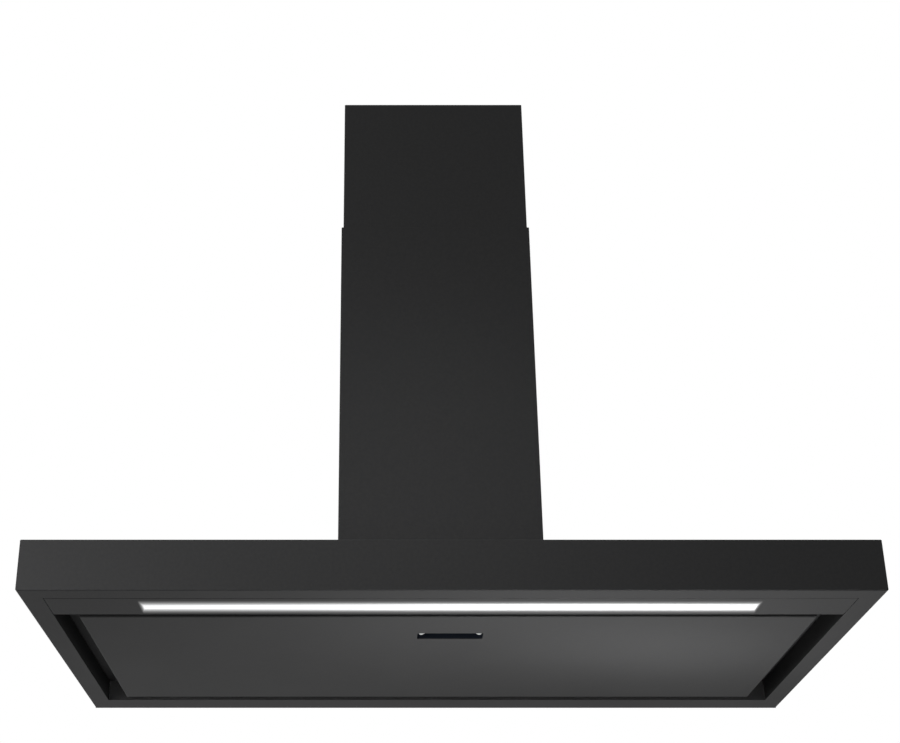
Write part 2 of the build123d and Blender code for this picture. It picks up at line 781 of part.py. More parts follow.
# ---------------------------------------------------------------- fan
# Forward-curved blades: each is a bowed strip between the two blade circles.
root = Vector(blade_inner_radius, 0)
tip = Vector(impeller_radius * cos(radians(blade_sweep)),
             impeller_radius * sin(radians(blade_sweep)))
chord = (tip - root).normalized()
belly = (root + tip) * 0.5 + Vector(chord.Y, -chord.X) * blade_bow
with BuildSketch() as blade:
    with BuildLine():
        ThreePointArc(root, belly, tip)
        offset(amount=blade_sheet, side=Side.LEFT)
    make_face()
fan_plane = Plane((0, fan_y, fan_z), x_dir=(0, 1, 0), z_dir=(1, 0, 0))
with BuildPart() as impeller:
    with BuildSketch(fan_plane):
        with PolarLocations(0, blade_count):
            add(blade.sketch)
    extrude(amount=disc_sheet / 2 + blade_length, both=True)
    with BuildSketch(fan_plane):
        Circle(blade_inner_radius + disc_overlap)
    extrude(amount=disc_sheet / 2, both=True)
    for sign in side_sign.values():
        with BuildSketch(fan_plane.offset(sign * (disc_sheet / 2 + blade_length))):
            Circle(impeller_radius + hoop_sheet)
            Circle(impeller_radius - hoop_overlap, mode=Mode.SUBTRACT)
        extrude(amount=-sign * hoop_width)
    with BuildSketch(fan_plane.offset(-disc_sheet)):
        Circle(hub_radius)
    extrude(amount=hub_length)
    with BuildSketch(fan_plane.offset(-disc_sheet)):
        Circle(shaft_radius)
    extrude(amount=hub_length, mode=Mode.SUBTRACT)
impeller.part.label = "impeller"
pieces.append(impeller)

grommet_face_x = -ring_face_x - grommet_height
motor_rear_x = grommet_face_x
motor_front_x = motor_rear_x + motor_length
bearing_depth = motor_length / 2
with BuildPart() as motor_shaft:
    x_cylinder((motor_front_x - bearing_depth, hub_length), fan_y, fan_z, shaft_radius)
motor_shaft.part.label = "motor_shaft"
pieces.append(motor_shaft)

with BuildPart() as motor_body:
    x_cylinder((motor_rear_x, motor_front_x), fan_y, fan_z, motor_radius)
    chamfer(motor_body.edges().filter_by(GeomType.CIRCLE), length=2 * bend)
    x_cylinder((motor_front_x, motor_front_x + motor_nose), fan_y, fan_z, motor_nose_radius)
    x_cylinder((motor_front_x - bearing_depth - motor_nose, motor_front_x + motor_nose),
               fan_y, fan_z, shaft_radius + running_gap, mode=Mode.SUBTRACT)
motor_body.part.label = "motor_body"
pieces.append(motor_body)

# A three-armed spider carries the motor from the left inlet ring, on rubber grommets.
with BuildPart() as motor_spider:
    spider_plane = Plane((grommet_face_x, fan_y, fan_z), x_dir=(0, 1, 0), z_dir=(1, 0, 0))
    with BuildSketch(spider_plane):
        Circle(spider_ring_outer)
        with PolarLocations(0, 3, start_angle=90):
            Rectangle(spider_hole_circle + spider_arm / 2, spider_arm,
                      align=(Align.MIN, Align.CENTER))
        Circle(spider_ring_inner, mode=Mode.SUBTRACT)
    extrude(amount=-spider_sheet)
motor_spider.part.label = "motor_spider"
pieces.append(motor_spider)

with BuildPart() as motor_grommets:
    with BuildSketch(Plane((-ring_face_x, fan_y, fan_z), x_dir=(0, 1, 0), z_dir=(1, 0, 0))):
        with PolarLocations(spider_hole_circle, 3, start_angle=90):
            Circle(grommet_radius)
    extrude(amount=-grommet_height)
motor_grommets.part.label = "motor_grommets"
pieces.append(motor_grommets)

capacitor_x = -box_half + box_sheet + capacitor_clip_sheet + capacitor_radius
capacitor_y = box_front_y + box_sheet + 2 * capacitor_radius
capacitor_z = scroll_top_z - capacitor_length - capacitor_radius
with BuildPart() as run_capacitor:
    z_cylinder(capacitor_x, capacitor_y, (capacitor_z, capacitor_z + capacitor_length),
               capacitor_radius)
    chamfer(run_capacitor.edges().filter_by(GeomType.CIRCLE), length=bend)
    for terminal in (-1, 1):
        slab((capacitor_x - 0.4, capacitor_x + 0.4),
             (capacitor_y + terminal * 5 - 3, capacitor_y + terminal * 5 + 3),
             (capacitor_z - 8, capacitor_z))
run_capacitor.part.label = "run_capacitor"
pieces.append(run_capacitor)

with BuildPart() as capacitor_clip:
    clip_height = capacitor_length / 4
    clip_mid_z = capacitor_z + capacitor_length / 2
    z_cylinder(capacitor_x, capacitor_y, (clip_mid_z - clip_height / 2, clip_mid_z + clip_height / 2),
               capacitor_radius + capacitor_clip_sheet)
    slab((capacitor_x - capacitor_radius - capacitor_clip_sheet, capacitor_x),
         (capacitor_y - capacitor_radius / 2, capacitor_y + capacitor_radius / 2),
         (clip_mid_z - clip_height / 2, clip_mid_z + clip_height / 2))
    z_cylinder(capacitor_x, capacitor_y, (clip_mid_z - clip_height, clip_mid_z + clip_height),
               capacitor_radius, mode=Mode.SUBTRACT)
    # the clip is open towards the middle of the box
    slab((capacitor_x + capacitor_radius / 2, capacitor_x + 2 * capacitor_radius),
         (capacitor_y - capacitor_radius / 2, capacitor_y + capacitor_radius / 2),
         (clip_mid_z - clip_height, clip_mid_z + clip_height), mode=Mode.SUBTRACT)
capacitor_clip.part.label = "capacitor_clip"
pieces.append(capacitor_clip)

with BuildPart() as supply_gland:
    gland_x = box_half - 2 * gland_radius
    gland_y = box_rear_y - 2 * gland_radius
    with BuildSketch(Plane.XY.offset(box_top_z)):
        with Locations((gland_x, gland_y)):
            RegularPolygon(gland_radius, 6)
    extrude(amount=gland_nut)
    z_cylinder(gland_x, gland_y, (box_top_z + gland_nut, box_top_z + gland_nut + gland_dome),
               gland_radius - 2 * bend)
    chamfer(supply_gland.faces().sort_by(Axis.Z)[-1].edges(), length=bend)
    z_cylinder(gland_x, gland_y, (box_top_z, box_top_z + gland_nut + gland_dome), gland_bore,
               mode=Mode.SUBTRACT)
supply_gland.part.label = "supply_gland"
pieces.append(supply_gland)


# ---------------------------------------------------------------- outlet
with BuildPart() as outlet_adapter:
    neck_depth = outlet_rear_y - outlet_front_y
    neck_z = box_top_z + adapter_flange_sheet
    with BuildSketch(Plane.XY.offset(box_top_z)):
        with Locations((0, outlet_y)):
            Rectangle(outlet_width + 2 * adapter_flange, neck_depth + 2 * scroll_wall)
    extrude(amount=adapter_flange_sheet)
    with BuildSketch(Plane.XY.offset(neck_z)):
        with Locations((0, outlet_y)):
            Rectangle(outlet_width + 2 * collar_wall, neck_depth + 2 * collar_wall)
    with BuildSketch(Plane.XY.offset(collar_z)):
        with Locations((0, chimney_y)):
            Circle(collar_radius)
    loft()
    with BuildSketch(Plane.XY.offset(collar_z)):
        with Locations((0, chimney_y)):
            Circle(collar_radius)
    extrude(amount=collar_length)
    # the way through
    with BuildSketch(Plane.XY.offset(box_top_z)):
        with Locations((0, outlet_y)):
            Rectangle(outlet_width, neck_depth)
    extrude(amount=adapter_flange_sheet, mode=Mode.SUBTRACT)
    with BuildSketch(Plane.XY.offset(neck_z)):
        with Locations((0, outlet_y)):
            Rectangle(outlet_width, neck_depth)
    with BuildSketch(Plane.XY.offset(collar_z)):
        with Locations((0, chimney_y)):
            Circle(collar_inner)
    loft(mode=Mode.SUBTRACT)
    z_cylinder(0, chimney_y, (collar_z, collar_top_z), collar_inner, mode=Mode.SUBTRACT)
    # ring that the closed flaps lie on
    with BuildSketch(Plane.XY.offset(ledge_top_z - flap_ledge_height)):
        with Locations((0, chimney_y)):
            Circle(collar_inner)
            Circle(collar_inner - flap_ledge, mode=Mode.SUBTRACT)
    extrude(amount=flap_ledge_height)
    for sign in (-1, 1):
        x_cylinder((-collar_radius, collar_radius), chimney_y + sign * flap_pin_spread / 2,
                   flap_pin_z, flap_pin_radius, mode=Mode.SUBTRACT)
outlet_adapter.part.label = "outlet_adapter"
pieces.append(outlet_adapter)

with BuildPart() as flap_pins:
    for sign in (-1, 1):
        x_cylinder((-collar_radius + bend / 2, collar_radius - bend / 2),
                   chimney_y + sign * flap_pin_spread / 2, flap_pin_z, flap_pin_radius)
flap_pins.part.label = "flap_pins"
pieces.append(flap_pins)

flap_radius = collar_inner - flap_rim_gap
flap_half_length = collar_inner - flap_ledge - flap_barrel_end
for name, sign in (("front", -1), ("rear", 1)):
    hinge_y = chimney_y + sign * flap_pin_spread / 2
    with BuildPart() as damper_flap:
        with BuildSketch(Plane.XY.offset(flap_z)):
            with Locations((0, chimney_y)):
                Circle(flap_radius)
            with Locations((0, hinge_y - sign * flap_radius)):
                Rectangle(2 * flap_radius, 2 * flap_radius, mode=Mode.SUBTRACT)
        extrude(amount=flap_sheet)
        x_cylinder((-flap_half_length, flap_half_length), hinge_y, flap_pin_z, flap_barrel_radius)
        x_cylinder((-flap_radius, flap_radius), hinge_y, flap_pin_z,
                   flap_pin_radius + running_gap, mode=Mode.SUBTRACT)
    damper_flap.part.label = f"damper_flap_{name}"
    pieces.append(damper_flap)


# ---------------------------------------------------------------- electrical boxes
control_half = control_width / 2
control_x = -half_width + control_from_side + control_half
control_y = -control_from_wall - control_depth / 2
control_z = canopy_inner_top - control_height
with BuildPart() as control_box:
    with BuildSketch(Plane.XY.offset(control_z)):
        with Locations((control_x, control_y)):
            Rectangle(control_width, control_depth)
    extrude(amount=control_height)
    with BuildSketch(Plane.XY.offset(control_z)):
        with Locations((control_x, control_y)):
            Rectangle(control_width - 2 * control_wall, control_depth - 2 * control_wall)
    extrude(amount=control_height - control_wall, mode=Mode.SUBTRACT)
    # two rails that the board is screwed to, and a lead hole in the side
    board_span_x = control_width - 6 * control_wall
    board_span_y = control_depth - 6 * control_wall
    board_z = canopy_inner_top - control_wall - control_board_gap
    with Locations((control_x, control_y, board_z)):
        with GridLocations(board_span_x - control_board_gap, 1, 2, 1):
            Box(control_board_gap, board_span_y, control_board_gap,
                align=(Align.CENTER, Align.CENTER, Align.MIN))
    x_cylinder((control_x + control_half - control_wall, control_x + control_half), control_y,
               control_z + control_height / 2, gland_bore, mode=Mode.SUBTRACT)
control_box.part.label = "control_box"
pieces.append(control_box)

with BuildPart() as control_lid:
    with BuildSketch(Plane.XY.offset(control_z - control_lid_sheet)):
        with Locations((control_x, control_y)):
            Rectangle(control_width, control_depth)
    extrude(amount=control_lid_sheet)
control_lid.part.label = "control_lid"
pieces.append(control_lid)

with BuildPart() as control_board:
    slab((control_x - board_span_x / 2, control_x + board_span_x / 2),
         (control_y - board_span_y / 2, control_y + board_span_y / 2), (board_z - board_sheet, board_z))
control_board.part.label = "control_board"
pieces.append(control_board)

with BuildPart() as terminal_block:
    terminal_top = board_z - board_sheet
    terminal_y = control_y - board_span_y / 2 + terminal_width
    slab((control_x - terminal_length / 2, control_x + terminal_length / 2),
         (terminal_y - terminal_width / 2, terminal_y + terminal_width / 2),
         (terminal_top - terminal_height, terminal_top))
    with Locations((control_x, terminal_y, terminal_top - terminal_height)):
        with GridLocations(terminal_length / 4, 1, 4, 1):
            Box(terminal_width / 2, terminal_width / 2, terminal_height / 2, mode=Mode.SUBTRACT,
                align=(Align.CENTER, Align.CENTER, Align.MIN))
terminal_block.part.label = "terminal_block"
pieces.append(terminal_block)

driver_x = half_width - control_from_side - driver_length / 2 - driver_ear
driver_y = -control_from_wall - control_depth + driver_width / 2
with BuildPart() as lamp_driver:
    with BuildSketch(Plane.XY.offset(canopy_inner_top - driver_height)):
        with Locations((driver_x, driver_y)):
            Rectangle(driver_length, driver_width)
    extrude(amount=driver_height)
    with BuildSketch(Plane.XY.offset(canopy_inner_top - driver_ear_sheet)):
        with Locations((driver_x, driver_y)):
            Rectangle(driver_length + 2 * driver_ear, driver_width / 2)
    extrude(amount=driver_ear_sheet)
lamp_driver.part.label = "lamp_driver"
pieces.append(lamp_driver)


# ---------------------------------------------------------------- chimney covers
def cover_section(half, front, rear, lip):
    """Face of a cover's section: a front, two sides and two rear returns."""
    folded_sheet([(-half + lip, rear), (-half, rear), (-half, front),
                  (half, front), (half, rear), (half - lip, rear)], steel)


with BuildPart() as chimney_lower:
    with BuildSketch(Plane.XY.offset(canopy_height)):
        cover_section(chimney_half, -chimney_depth, 0, chimney_return)
    extrude(amount=lower_height)
chimney_lower.part.label = "chimney_lower"
pieces.append(chimney_lower)

hanger_z = upper_top_z - hanger_from_top - hanger_height
hanger_screw_y = upper_rear_y - hanger_step - hanger_arm / 2
with BuildPart() as chimney_upper:
    with BuildSketch(Plane.XY.offset(upper_z)):
        cover_section(upper_half, upper_front_y, upper_rear_y, chimney_return)
    extrude(amount=upper_height)
    # air slots near the top of both sides
    with BuildSketch(Plane.YZ):
        with Locations((chimney_y, upper_top_z - vent_from_top - vent_pitch * (vent_count - 1) / 2)):
            with GridLocations(1, vent_pitch, 1, vent_count):
                Rectangle(vent_length, vent_width)
    extrude(amount=upper_half, both=True, mode=Mode.SUBTRACT)
chimney_upper.part.label = "chimney_upper"
pieces.append(chimney_upper)

# The hanger is one strip folded like a hat: its middle lies on the wall between the
# covers' returns, and its two arms carry the upper cover's sides.
with BuildPart() as chimney_hanger:
    arm_half = upper_half - steel
    plate_half = upper_half - chimney_return - hanger_clear
    step_y = upper_rear_y - hanger_step
    with BuildSketch(Plane.XY.offset(hanger_z)):
        folded_sheet([(-arm_half, step_y - hanger_arm), (-arm_half, step_y), (-plate_half, step_y),
                      (-plate_half, 0), (plate_half, 0), (plate_half, step_y),
                      (arm_half, step_y), (arm_half, step_y - hanger_arm)],
                     hanger_sheet, Side.RIGHT, radius=2.0)
    extrude(amount=hanger_height)
    for sign in (-1, 1):
        with Locations(Plane.XZ * Location((sign * hanger_hole_spacing / 2,
                                            hanger_z + hanger_height / 2, 0))):
            Cylinder(hanger_hole_radius, 2 * hanger_sheet, mode=Mode.SUBTRACT)
chimney_hanger.part.label = "chimney_hanger"
pieces.append(chimney_hanger)

with BuildPart() as hanger_screws:
    for sign in (-1, 1):
        x_cylinder(sorted((sign * upper_half, sign * (upper_half + cover_screw_head))),
                   hanger_screw_y, hanger_z + hanger_height / 2, screw_head_radius)
hanger_screws.part.label = "hanger_screws"
pieces.append(hanger_screws)

# Thin pads inside the lower cover keep the sliding cover from scratching.
with BuildPart() as chimney_glides:
    glide_sheet = cover_gap - glide_clear
    glide_span = (lower_top_z - glide_from_top - glide_height, lower_top_z - glide_from_top)
    for sign in (-1, 1):
        glide_x = sign * glide_spread / 2
        slab((glide_x - glide_width / 2, glide_x + glide_width / 2),
             (-chimney_depth + steel, -chimney_depth + steel + glide_sheet), glide_span)
        slab(sorted((sign * (chimney_half - steel), sign * (chimney_half - steel - glide_sheet))),
             (chimney_y - glide_width / 2, chimney_y + glide_width / 2), glide_span)
chimney_glides.part.label = "chimney_glides"
pieces.append(chimney_glides)

# Angles welded to the canopy's top hold the foot of the lower cover's front.
with BuildPart() as chimney_feet:
    for x, y in foot_points:
        with BuildSketch(Plane.YZ.offset(x)):
            folded_sheet([(y, canopy_height + foot_rise), (y, canopy_height),
                          (y + foot_leg, canopy_height)], foot_sheet)
        extrude(amount=foot_length / 2, both=True)
chimney_feet.part.label = "chimney_feet"
pieces.append(chimney_feet)

os.makedirs("parts", exist_ok=True)
for piece in pieces:
    export_step(piece.part, f"parts/{piece.part.label}.step")
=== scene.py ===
import json
import math

import bpy
from mathutils import Matrix, Vector


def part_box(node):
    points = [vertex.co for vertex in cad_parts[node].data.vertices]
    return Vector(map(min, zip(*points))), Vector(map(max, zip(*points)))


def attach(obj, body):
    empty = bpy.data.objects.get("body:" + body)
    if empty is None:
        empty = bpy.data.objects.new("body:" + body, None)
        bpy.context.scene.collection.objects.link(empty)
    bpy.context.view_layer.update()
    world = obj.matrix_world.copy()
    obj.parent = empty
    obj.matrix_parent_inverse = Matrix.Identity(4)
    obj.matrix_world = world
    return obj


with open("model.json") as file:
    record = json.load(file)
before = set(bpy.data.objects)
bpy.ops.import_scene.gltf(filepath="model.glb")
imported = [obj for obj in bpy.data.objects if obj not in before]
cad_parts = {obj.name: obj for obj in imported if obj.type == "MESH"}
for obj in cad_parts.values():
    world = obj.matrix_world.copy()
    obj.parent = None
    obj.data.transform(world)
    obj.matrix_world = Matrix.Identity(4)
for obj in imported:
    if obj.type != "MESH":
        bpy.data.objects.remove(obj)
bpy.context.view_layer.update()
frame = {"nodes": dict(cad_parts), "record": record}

# A black wall-mounted chimney range hood. Metres; +X right, +Y towards the wall, +Z up.
nodes = frame["nodes"]
MM = 0.001


# ---------------------------------------------------------------- node helpers
def add(tree, kind, inputs=None, **settings):
    """A node of this kind; an input's value is a number, a colour or another node's socket."""
    made = tree.nodes.new(kind)
    for key, value in settings.items():
        setattr(made, key, value)
    for key, value in (inputs or {}).items():
        if isinstance(value, bpy.types.NodeSocket):
            tree.links.new(value, made.inputs[key])
        else:
            made.inputs[key].default_value = value
    return made


def arithmetic(tree, operation, *values):
    """Result of a Math node."""
    return add(tree, "ShaderNodeMath", dict(enumerate(values)), operation=operation).outputs[0]


def new_group(kind, name, takes, gives):
    """An empty node group with named sockets, its input node and its output node."""
    tree = bpy.data.node_groups.new(name, kind)
    for label, value in takes.items():
        if value is None:
            socket_type = "NodeSocketGeometry"
        elif isinstance(value, tuple):
            socket_type = "NodeSocketVector"
        else:
            socket_type = "NodeSocketInt" if isinstance(value, int) else "NodeSocketFloat"
        socket = tree.interface.new_socket(label, in_out="INPUT", socket_type=socket_type)
        if value is not None:
            socket.default_value = value
    for label, socket_type in gives.items():
        tree.interface.new_socket(label, in_out="OUTPUT", socket_type=socket_type)
    return tree, add(tree, "NodeGroupInput"), add(tree, "NodeGroupOutput")


# ---------------------------------------------------------------- surface effects
def make_fine_grain():
    """Orange-peel texture of a sprayed or moulded surface."""
    coarse_share = 0.31            # the tone's pattern is about three times coarser
    tree, given, result = new_group(
        "ShaderNodeTree", "fine_grain", {"Grain Size": 1.2 * MM, "Cloud Size": 60 * MM},
        {"Height": "NodeSocketFloat", "Tone": "NodeSocketFloat", "Cloud": "NodeSocketFloat"})
    place = add(tree, "ShaderNodeTexCoord").outputs["Object"]
    grain_scale = arithmetic(tree, "DIVIDE", 1.0, given.outputs["Grain Size"])
    cloud_scale = arithmetic(tree, "DIVIDE", 1.0, given.outputs["Cloud Size"])
    grain = add(tree, "ShaderNodeTexNoise", {"Vector": place, "Scale": grain_scale, "Detail": 2.0})
    coarse_scale = arithmetic(tree, "MULTIPLY", grain_scale, coarse_share)
    coarse = add(tree, "ShaderNodeTexNoise", {"Vector": place, "Scale": coarse_scale,
                                              "Detail": 2.0})
    cloud = add(tree, "ShaderNodeTexNoise", {"Vector": place, "Scale": cloud_scale,
                                             "Detail": 4.0, "Roughness": 0.6})
    tree.links.new(grain.outputs["Fac"], result.inputs["Height"])
    tree.links.new(coarse.outputs["Fac"], result.inputs["Tone"])
    tree.links.new(cloud.outputs["Fac"], result.inputs["Cloud"])
    return tree


def make_worn_edges():
    """Mask of the edges where a finish is rubbed thin."""
    flat_cosine, edge_cosine = 0.995, 0.86     # between the face and its rounded edge
    patch_low, patch_high = 0.35, 0.7          # of the noise that breaks the wear up
    tree, given, result = new_group(
        "ShaderNodeTree", "worn_edges", {"Width": 1.0 * MM, "Breakup Size": 9 * MM},
        {"Mask": "NodeSocketFloat"})
    rounded = add(tree, "ShaderNodeBevel", {"Radius": given.outputs["Width"]}, samples=6)
    flat = add(tree, "ShaderNodeNewGeometry").outputs["Normal"]
    turn = add(tree, "ShaderNodeVectorMath", {0: rounded.outputs[0], 1: flat},
               operation="DOT_PRODUCT").outputs["Value"]
    edge = add(tree, "ShaderNodeMapRange",
               {"Value": turn, "From Min": flat_cosine, "From Max": edge_cosine},
               clamp=True).outputs["Result"]
    place = add(tree, "ShaderNodeTexCoord").outputs["Object"]
    breakup_scale = arithmetic(tree, "DIVIDE", 1.0, given.outputs["Breakup Size"])
    breakup = add(tree, "ShaderNodeTexNoise", {"Vector": place, "Scale": breakup_scale,
                                               "Detail": 5.0})
    patches = add(tree, "ShaderNodeMapRange",
                  {"Value": breakup.outputs["Fac"], "From Min": patch_low, "From Max": patch_high},
                  clamp=True).outputs["Result"]
    tree.links.new(arithmetic(tree, "MULTIPLY", edge, patches), result.inputs["Mask"])
    return tree


def make_brushing():
    """Long scratches left by rolling or brushing, along the axis with the small stretch."""
    stain_scale = 28.0             # cells of the stains' noise in a metre
    tree, given, result = new_group(
        "ShaderNodeTree", "brushing", {"Stretch": (40.0, 2600.0, 2600.0)},
        {"Height": "NodeSocketFloat", "Tone": "NodeSocketFloat"})
    place = add(tree, "ShaderNodeTexCoord").outputs["Object"]
    stretched = add(tree, "ShaderNodeVectorMath", {0: place, 1: given.outputs["Stretch"]},
                    operation="MULTIPLY").outputs[0]
    lines = add(tree, "ShaderNodeTexNoise", {"Vector": stretched, "Scale": 1.0, "Detail": 3.0})
    stains = add(tree, "ShaderNodeTexNoise", {"Vector": place, "Scale": stain_scale,
                                              "Detail": 4.0})
    tree.links.new(lines.outputs["Fac"], result.inputs["Height"])
    tree.links.new(stains.outputs["Fac"], result.inputs["Tone"])
    return tree


def make_spangle():
    """Frosty crystals of hot-dip zinc."""
    warp_reach = 6 * MM            # how far the crystals' borders wander
    tree, given, result = new_group(
        "ShaderNodeTree", "spangle", {"Crystal Size": 9 * MM},
        {"Tone": "NodeSocketFloat", "Height": "NodeSocketFloat"})
    place = add(tree, "ShaderNodeTexCoord").outputs["Object"]
    scale = arithmetic(tree, "DIVIDE", 1.0, given.outputs["Crystal Size"])
    warp = add(tree, "ShaderNodeTexNoise", {"Vector": place, "Scale": scale, "Detail": 2.0})
    spread = add(tree, "ShaderNodeVectorMath",
                 {0: warp.outputs["Color"], 1: (warp_reach, warp_reach, warp_reach)},
                 operation="MULTIPLY").outputs[0]
    warped = add(tree, "ShaderNodeVectorMath", {0: place, 1: spread}, operation="ADD").outputs[0]
    cells = add(tree, "ShaderNodeTexVoronoi", {"Vector": warped, "Scale": scale})
    shade = add(tree, "ShaderNodeSeparateColor", {"Color": cells.outputs["Color"]}).outputs[0]
    tree.links.new(shade, result.inputs["Tone"])
    tree.links.new(cells.outputs["Distance"], result.inputs["Height"])
    return tree


def make_lamp_reach():
    """How far a place lies inside and outside the lamp's window, seen from below.

    A distance from an end counts End Scale times, so the glow ends more crisply there.
    """
    tree, given, result = new_group(
        "ShaderNodeTree", "lamp_reach",
        {"Middle Y": -0.443, "Half Length": 0.3275, "Half Width": 0.015, "End Scale": 4.0},
        {"Inside": "NodeSocketFloat", "Outside": "NodeSocketFloat", "Height": "NodeSocketFloat"})
    place = add(tree, "ShaderNodeTexCoord").outputs["Object"]
    parts = add(tree, "ShaderNodeSeparateXYZ", {0: place}).outputs
    along = arithmetic(tree, "SUBTRACT", given.outputs["Half Length"],
                       arithmetic(tree, "ABSOLUTE", parts[0]))
    from_end = arithmetic(tree, "MULTIPLY", along, given.outputs["End Scale"])
    offset = arithmetic(tree, "SUBTRACT", parts[1], given.outputs["Middle Y"])
    from_side = arithmetic(tree, "SUBTRACT", given.outputs["Half Width"],
                           arithmetic(tree, "ABSOLUTE", offset))
    inside = arithmetic(tree, "MINIMUM", from_end, from_side)
    beyond = add(tree, "ShaderNodeCombineXYZ",
                 {0: arithmetic(tree, "MINIMUM", from_end, 0.0),
                  1: arithmetic(tree, "MINIMUM", from_side, 0.0)}).outputs[0]
    outside = add(tree, "ShaderNodeVectorMath", {0: beyond}, operation="LENGTH").outputs["Value"]
    tree.links.new(inside, result.inputs["Inside"])
    tree.links.new(outside, result.inputs["Outside"])
    tree.links.new(parts[2], result.inputs["Height"])
    return tree


fine_grain = make_fine_grain()
worn_edges = make_worn_edges()
brushing = make_brushing()
spangle = make_spangle()
lamp_reach = make_lamp_reach()


# ---------------------------------------------------------------- materials
class Finish:
    """One material under construction: its tree, its shader and the effects put into it."""

    def __init__(self, name, metallic=0.0, specular=0.5, **constants):
        self.material = bpy.data.materials.new(name)
        self.material.use_nodes = True
        self.tree = self.material.node_tree
        self.shader = self.tree.nodes["Principled BSDF"]
        self.shader.inputs["Metallic"].default_value = metallic
        self.shader.inputs["Specular IOR Level"].default_value = specular
        for label, value in constants.items():
            self.shader.inputs[label.replace("_", " ").title()].default_value = value

    def effect(self, group, **values):
        """Outputs of a shared effect, placed with this material's own values."""
        placed = add(self.tree, "ShaderNodeGroup")
        placed.node_tree = group
        for label, value in values.items():
            placed.inputs[label.replace("_", " ").title()].default_value = value
        return placed.outputs

    def blend(self, factor, first, second):
        """Colour between two greys or two colours."""
        mixed = add(self.tree, "ShaderNodeMix", {"Factor": factor}, data_type="RGBA")
        sides = [socket for socket in mixed.inputs if socket.type == "RGBA"]
        for socket, value in zip(sides, (first, second)):
            if isinstance(value, tuple):
                socket.default_value = (*value, 1.0)
            else:
                self.tree.links.new(value, socket)
        return [socket for socket in mixed.outputs if socket.type == "RGBA"][0]

    def spread(self, value, low, high, from_low=0.3, from_high=0.7):
        """A mask's range laid over another range."""
        return add(self.tree, "ShaderNodeMapRange",
                   {"Value": value, "From Min": from_low, "From Max": from_high,
                    "To Min": low, "To Max": high}, clamp=True).outputs["Result"]

    def colour(self, source):
        self.tree.links.new(source, self.shader.inputs["Base Color"])

    def roughness(self, source):
        self.tree.links.new(source, self.shader.inputs["Roughness"])

    def relief(self, height, depth):
        """Bump of this depth, in metres."""
        bump = add(self.tree, "ShaderNodeBump", {"Height": height, "Distance": depth,
                                                 "Strength": 1.0})
        self.tree.links.new(bump.outputs["Normal"], self.shader.inputs["Normal"])


RUBBED_GREY = (0.16, 0.16, 0.16)
CLOUDED_ROUGHNESS = 0.012      # how much the clouding shifts a sprayed coat's roughness


def sprayed_finish(name, dark, light, roughness, specular, depth, wear, **constants):
    """Matt black powder coat: fine orange peel, faint clouding, edges rubbed a little brighter."""
    coat = Finish(name, specular=specular, **constants)
    grain = coat.effect(fine_grain, grain_size=1.1 * MM, cloud_size=150 * MM)
    edge = coat.effect(worn_edges, width=0.9 * MM, breakup_size=7 * MM)["Mask"]
    body = coat.blend(coat.spread(grain["Tone"], 0.0, 1.0), dark, light)
    worn = coat.blend(arithmetic(coat.tree, "MULTIPLY", edge, wear), body, RUBBED_GREY)
    coat.colour(worn)
    coat.roughness(coat.spread(grain["Cloud"], roughness - CLOUDED_ROUGHNESS,
                               roughness + CLOUDED_ROUGHNESS))
    coat.relief(grain["Height"], depth)
    return coat


LAMP_GLOW = 1.4                # brightness of the lit cover along its middle
RIM_GLOW = 0.12                # share of the glow that is left at the window's rim
RISE_START = -1 * MM           # measured inwards: the glow starts to rise just outside the rim
# The spilt light below is painted: the coat glows with it as emission, the lamp does not light it
SPILL = 0.19                   # brightness of the light spilt at the lamp's rim
SPILL_REACH = 10 * MM
LOWER_FACE_BAND = 0.5 * MM     # only the light panel's lower face catches the spilt light


def painted_spill_glow(coat, window):
    """Painted light: the coat itself glows round the lamp's window, standing in for the lamp's
    light spilling over it.
    """
    reach = coat.effect(lamp_reach, **window)
    near = coat.spread(reach["Outside"], 1.0, 0.0, 0.0, SPILL_REACH)
    below = arithmetic(coat.tree, "LESS_THAN", reach["Height"], LOWER_FACE_BAND)
    share = arithmetic(coat.tree, "MULTIPLY", arithmetic(coat.tree, "MULTIPLY", near, near), below)
    coat.tree.links.new(coat.blend(share, (0.0, 0.0, 0.0), (SPILL, SPILL, SPILL)),
                        coat.shader.inputs["Emission Color"])
    return coat


def moulded_plastic(name, dark, light, roughness, grain_size=0.6 * MM, specular=0.4):
    """Injection-moulded plastic with a fine spark-eroded grain."""
    wear, rubbed_gain, rubbed_lift = 0.4, 1.6, 0.01
    plastic = Finish(name, specular=specular)
    grain = plastic.effect(fine_grain, grain_size=grain_size, cloud_size=35 * MM)
    edge = plastic.effect(worn_edges, width=0.6 * MM, breakup_size=5 * MM)["Mask"]
    body = plastic.blend(plastic.spread(grain["Cloud"], 0.0, 1.0), dark, light)
    rubbed = tuple(min(1.0, rubbed_gain * value + rubbed_lift) for value in light)
    plastic.colour(plastic.blend(arithmetic(plastic.tree, "MULTIPLY", edge, wear), body, rubbed))
    plastic.roughness(plastic.spread(grain["Tone"], roughness - 0.05, roughness + 0.07))
    plastic.relief(grain["Height"], 0.05 * MM)
    return plastic.material


def brushed_metal(name, dark, light, roughness, stretch):
    """Bare metal with rolling lines, faint stains and brighter edges."""
    depth, wear, rubbed_gain = 0.02 * MM, 0.3, 1.25
    metal = Finish(name, metallic=1.0)
    lines = metal.effect(brushing, stretch=stretch)
    edge = metal.effect(worn_edges, width=0.5 * MM, breakup_size=4 * MM)["Mask"]
    body = metal.blend(metal.spread(lines["Tone"], 0.0, 1.0), dark, light)
    bright = tuple(min(1.0, rubbed_gain * value) for value in light)
    metal.colour(metal.blend(arithmetic(metal.tree, "MULTIPLY", edge, wear), body, bright))
    metal.roughness(metal.spread(lines["Height"], roughness - 0.08, roughness + 0.1))
    metal.relief(lines["Height"], depth)
    return metal.material


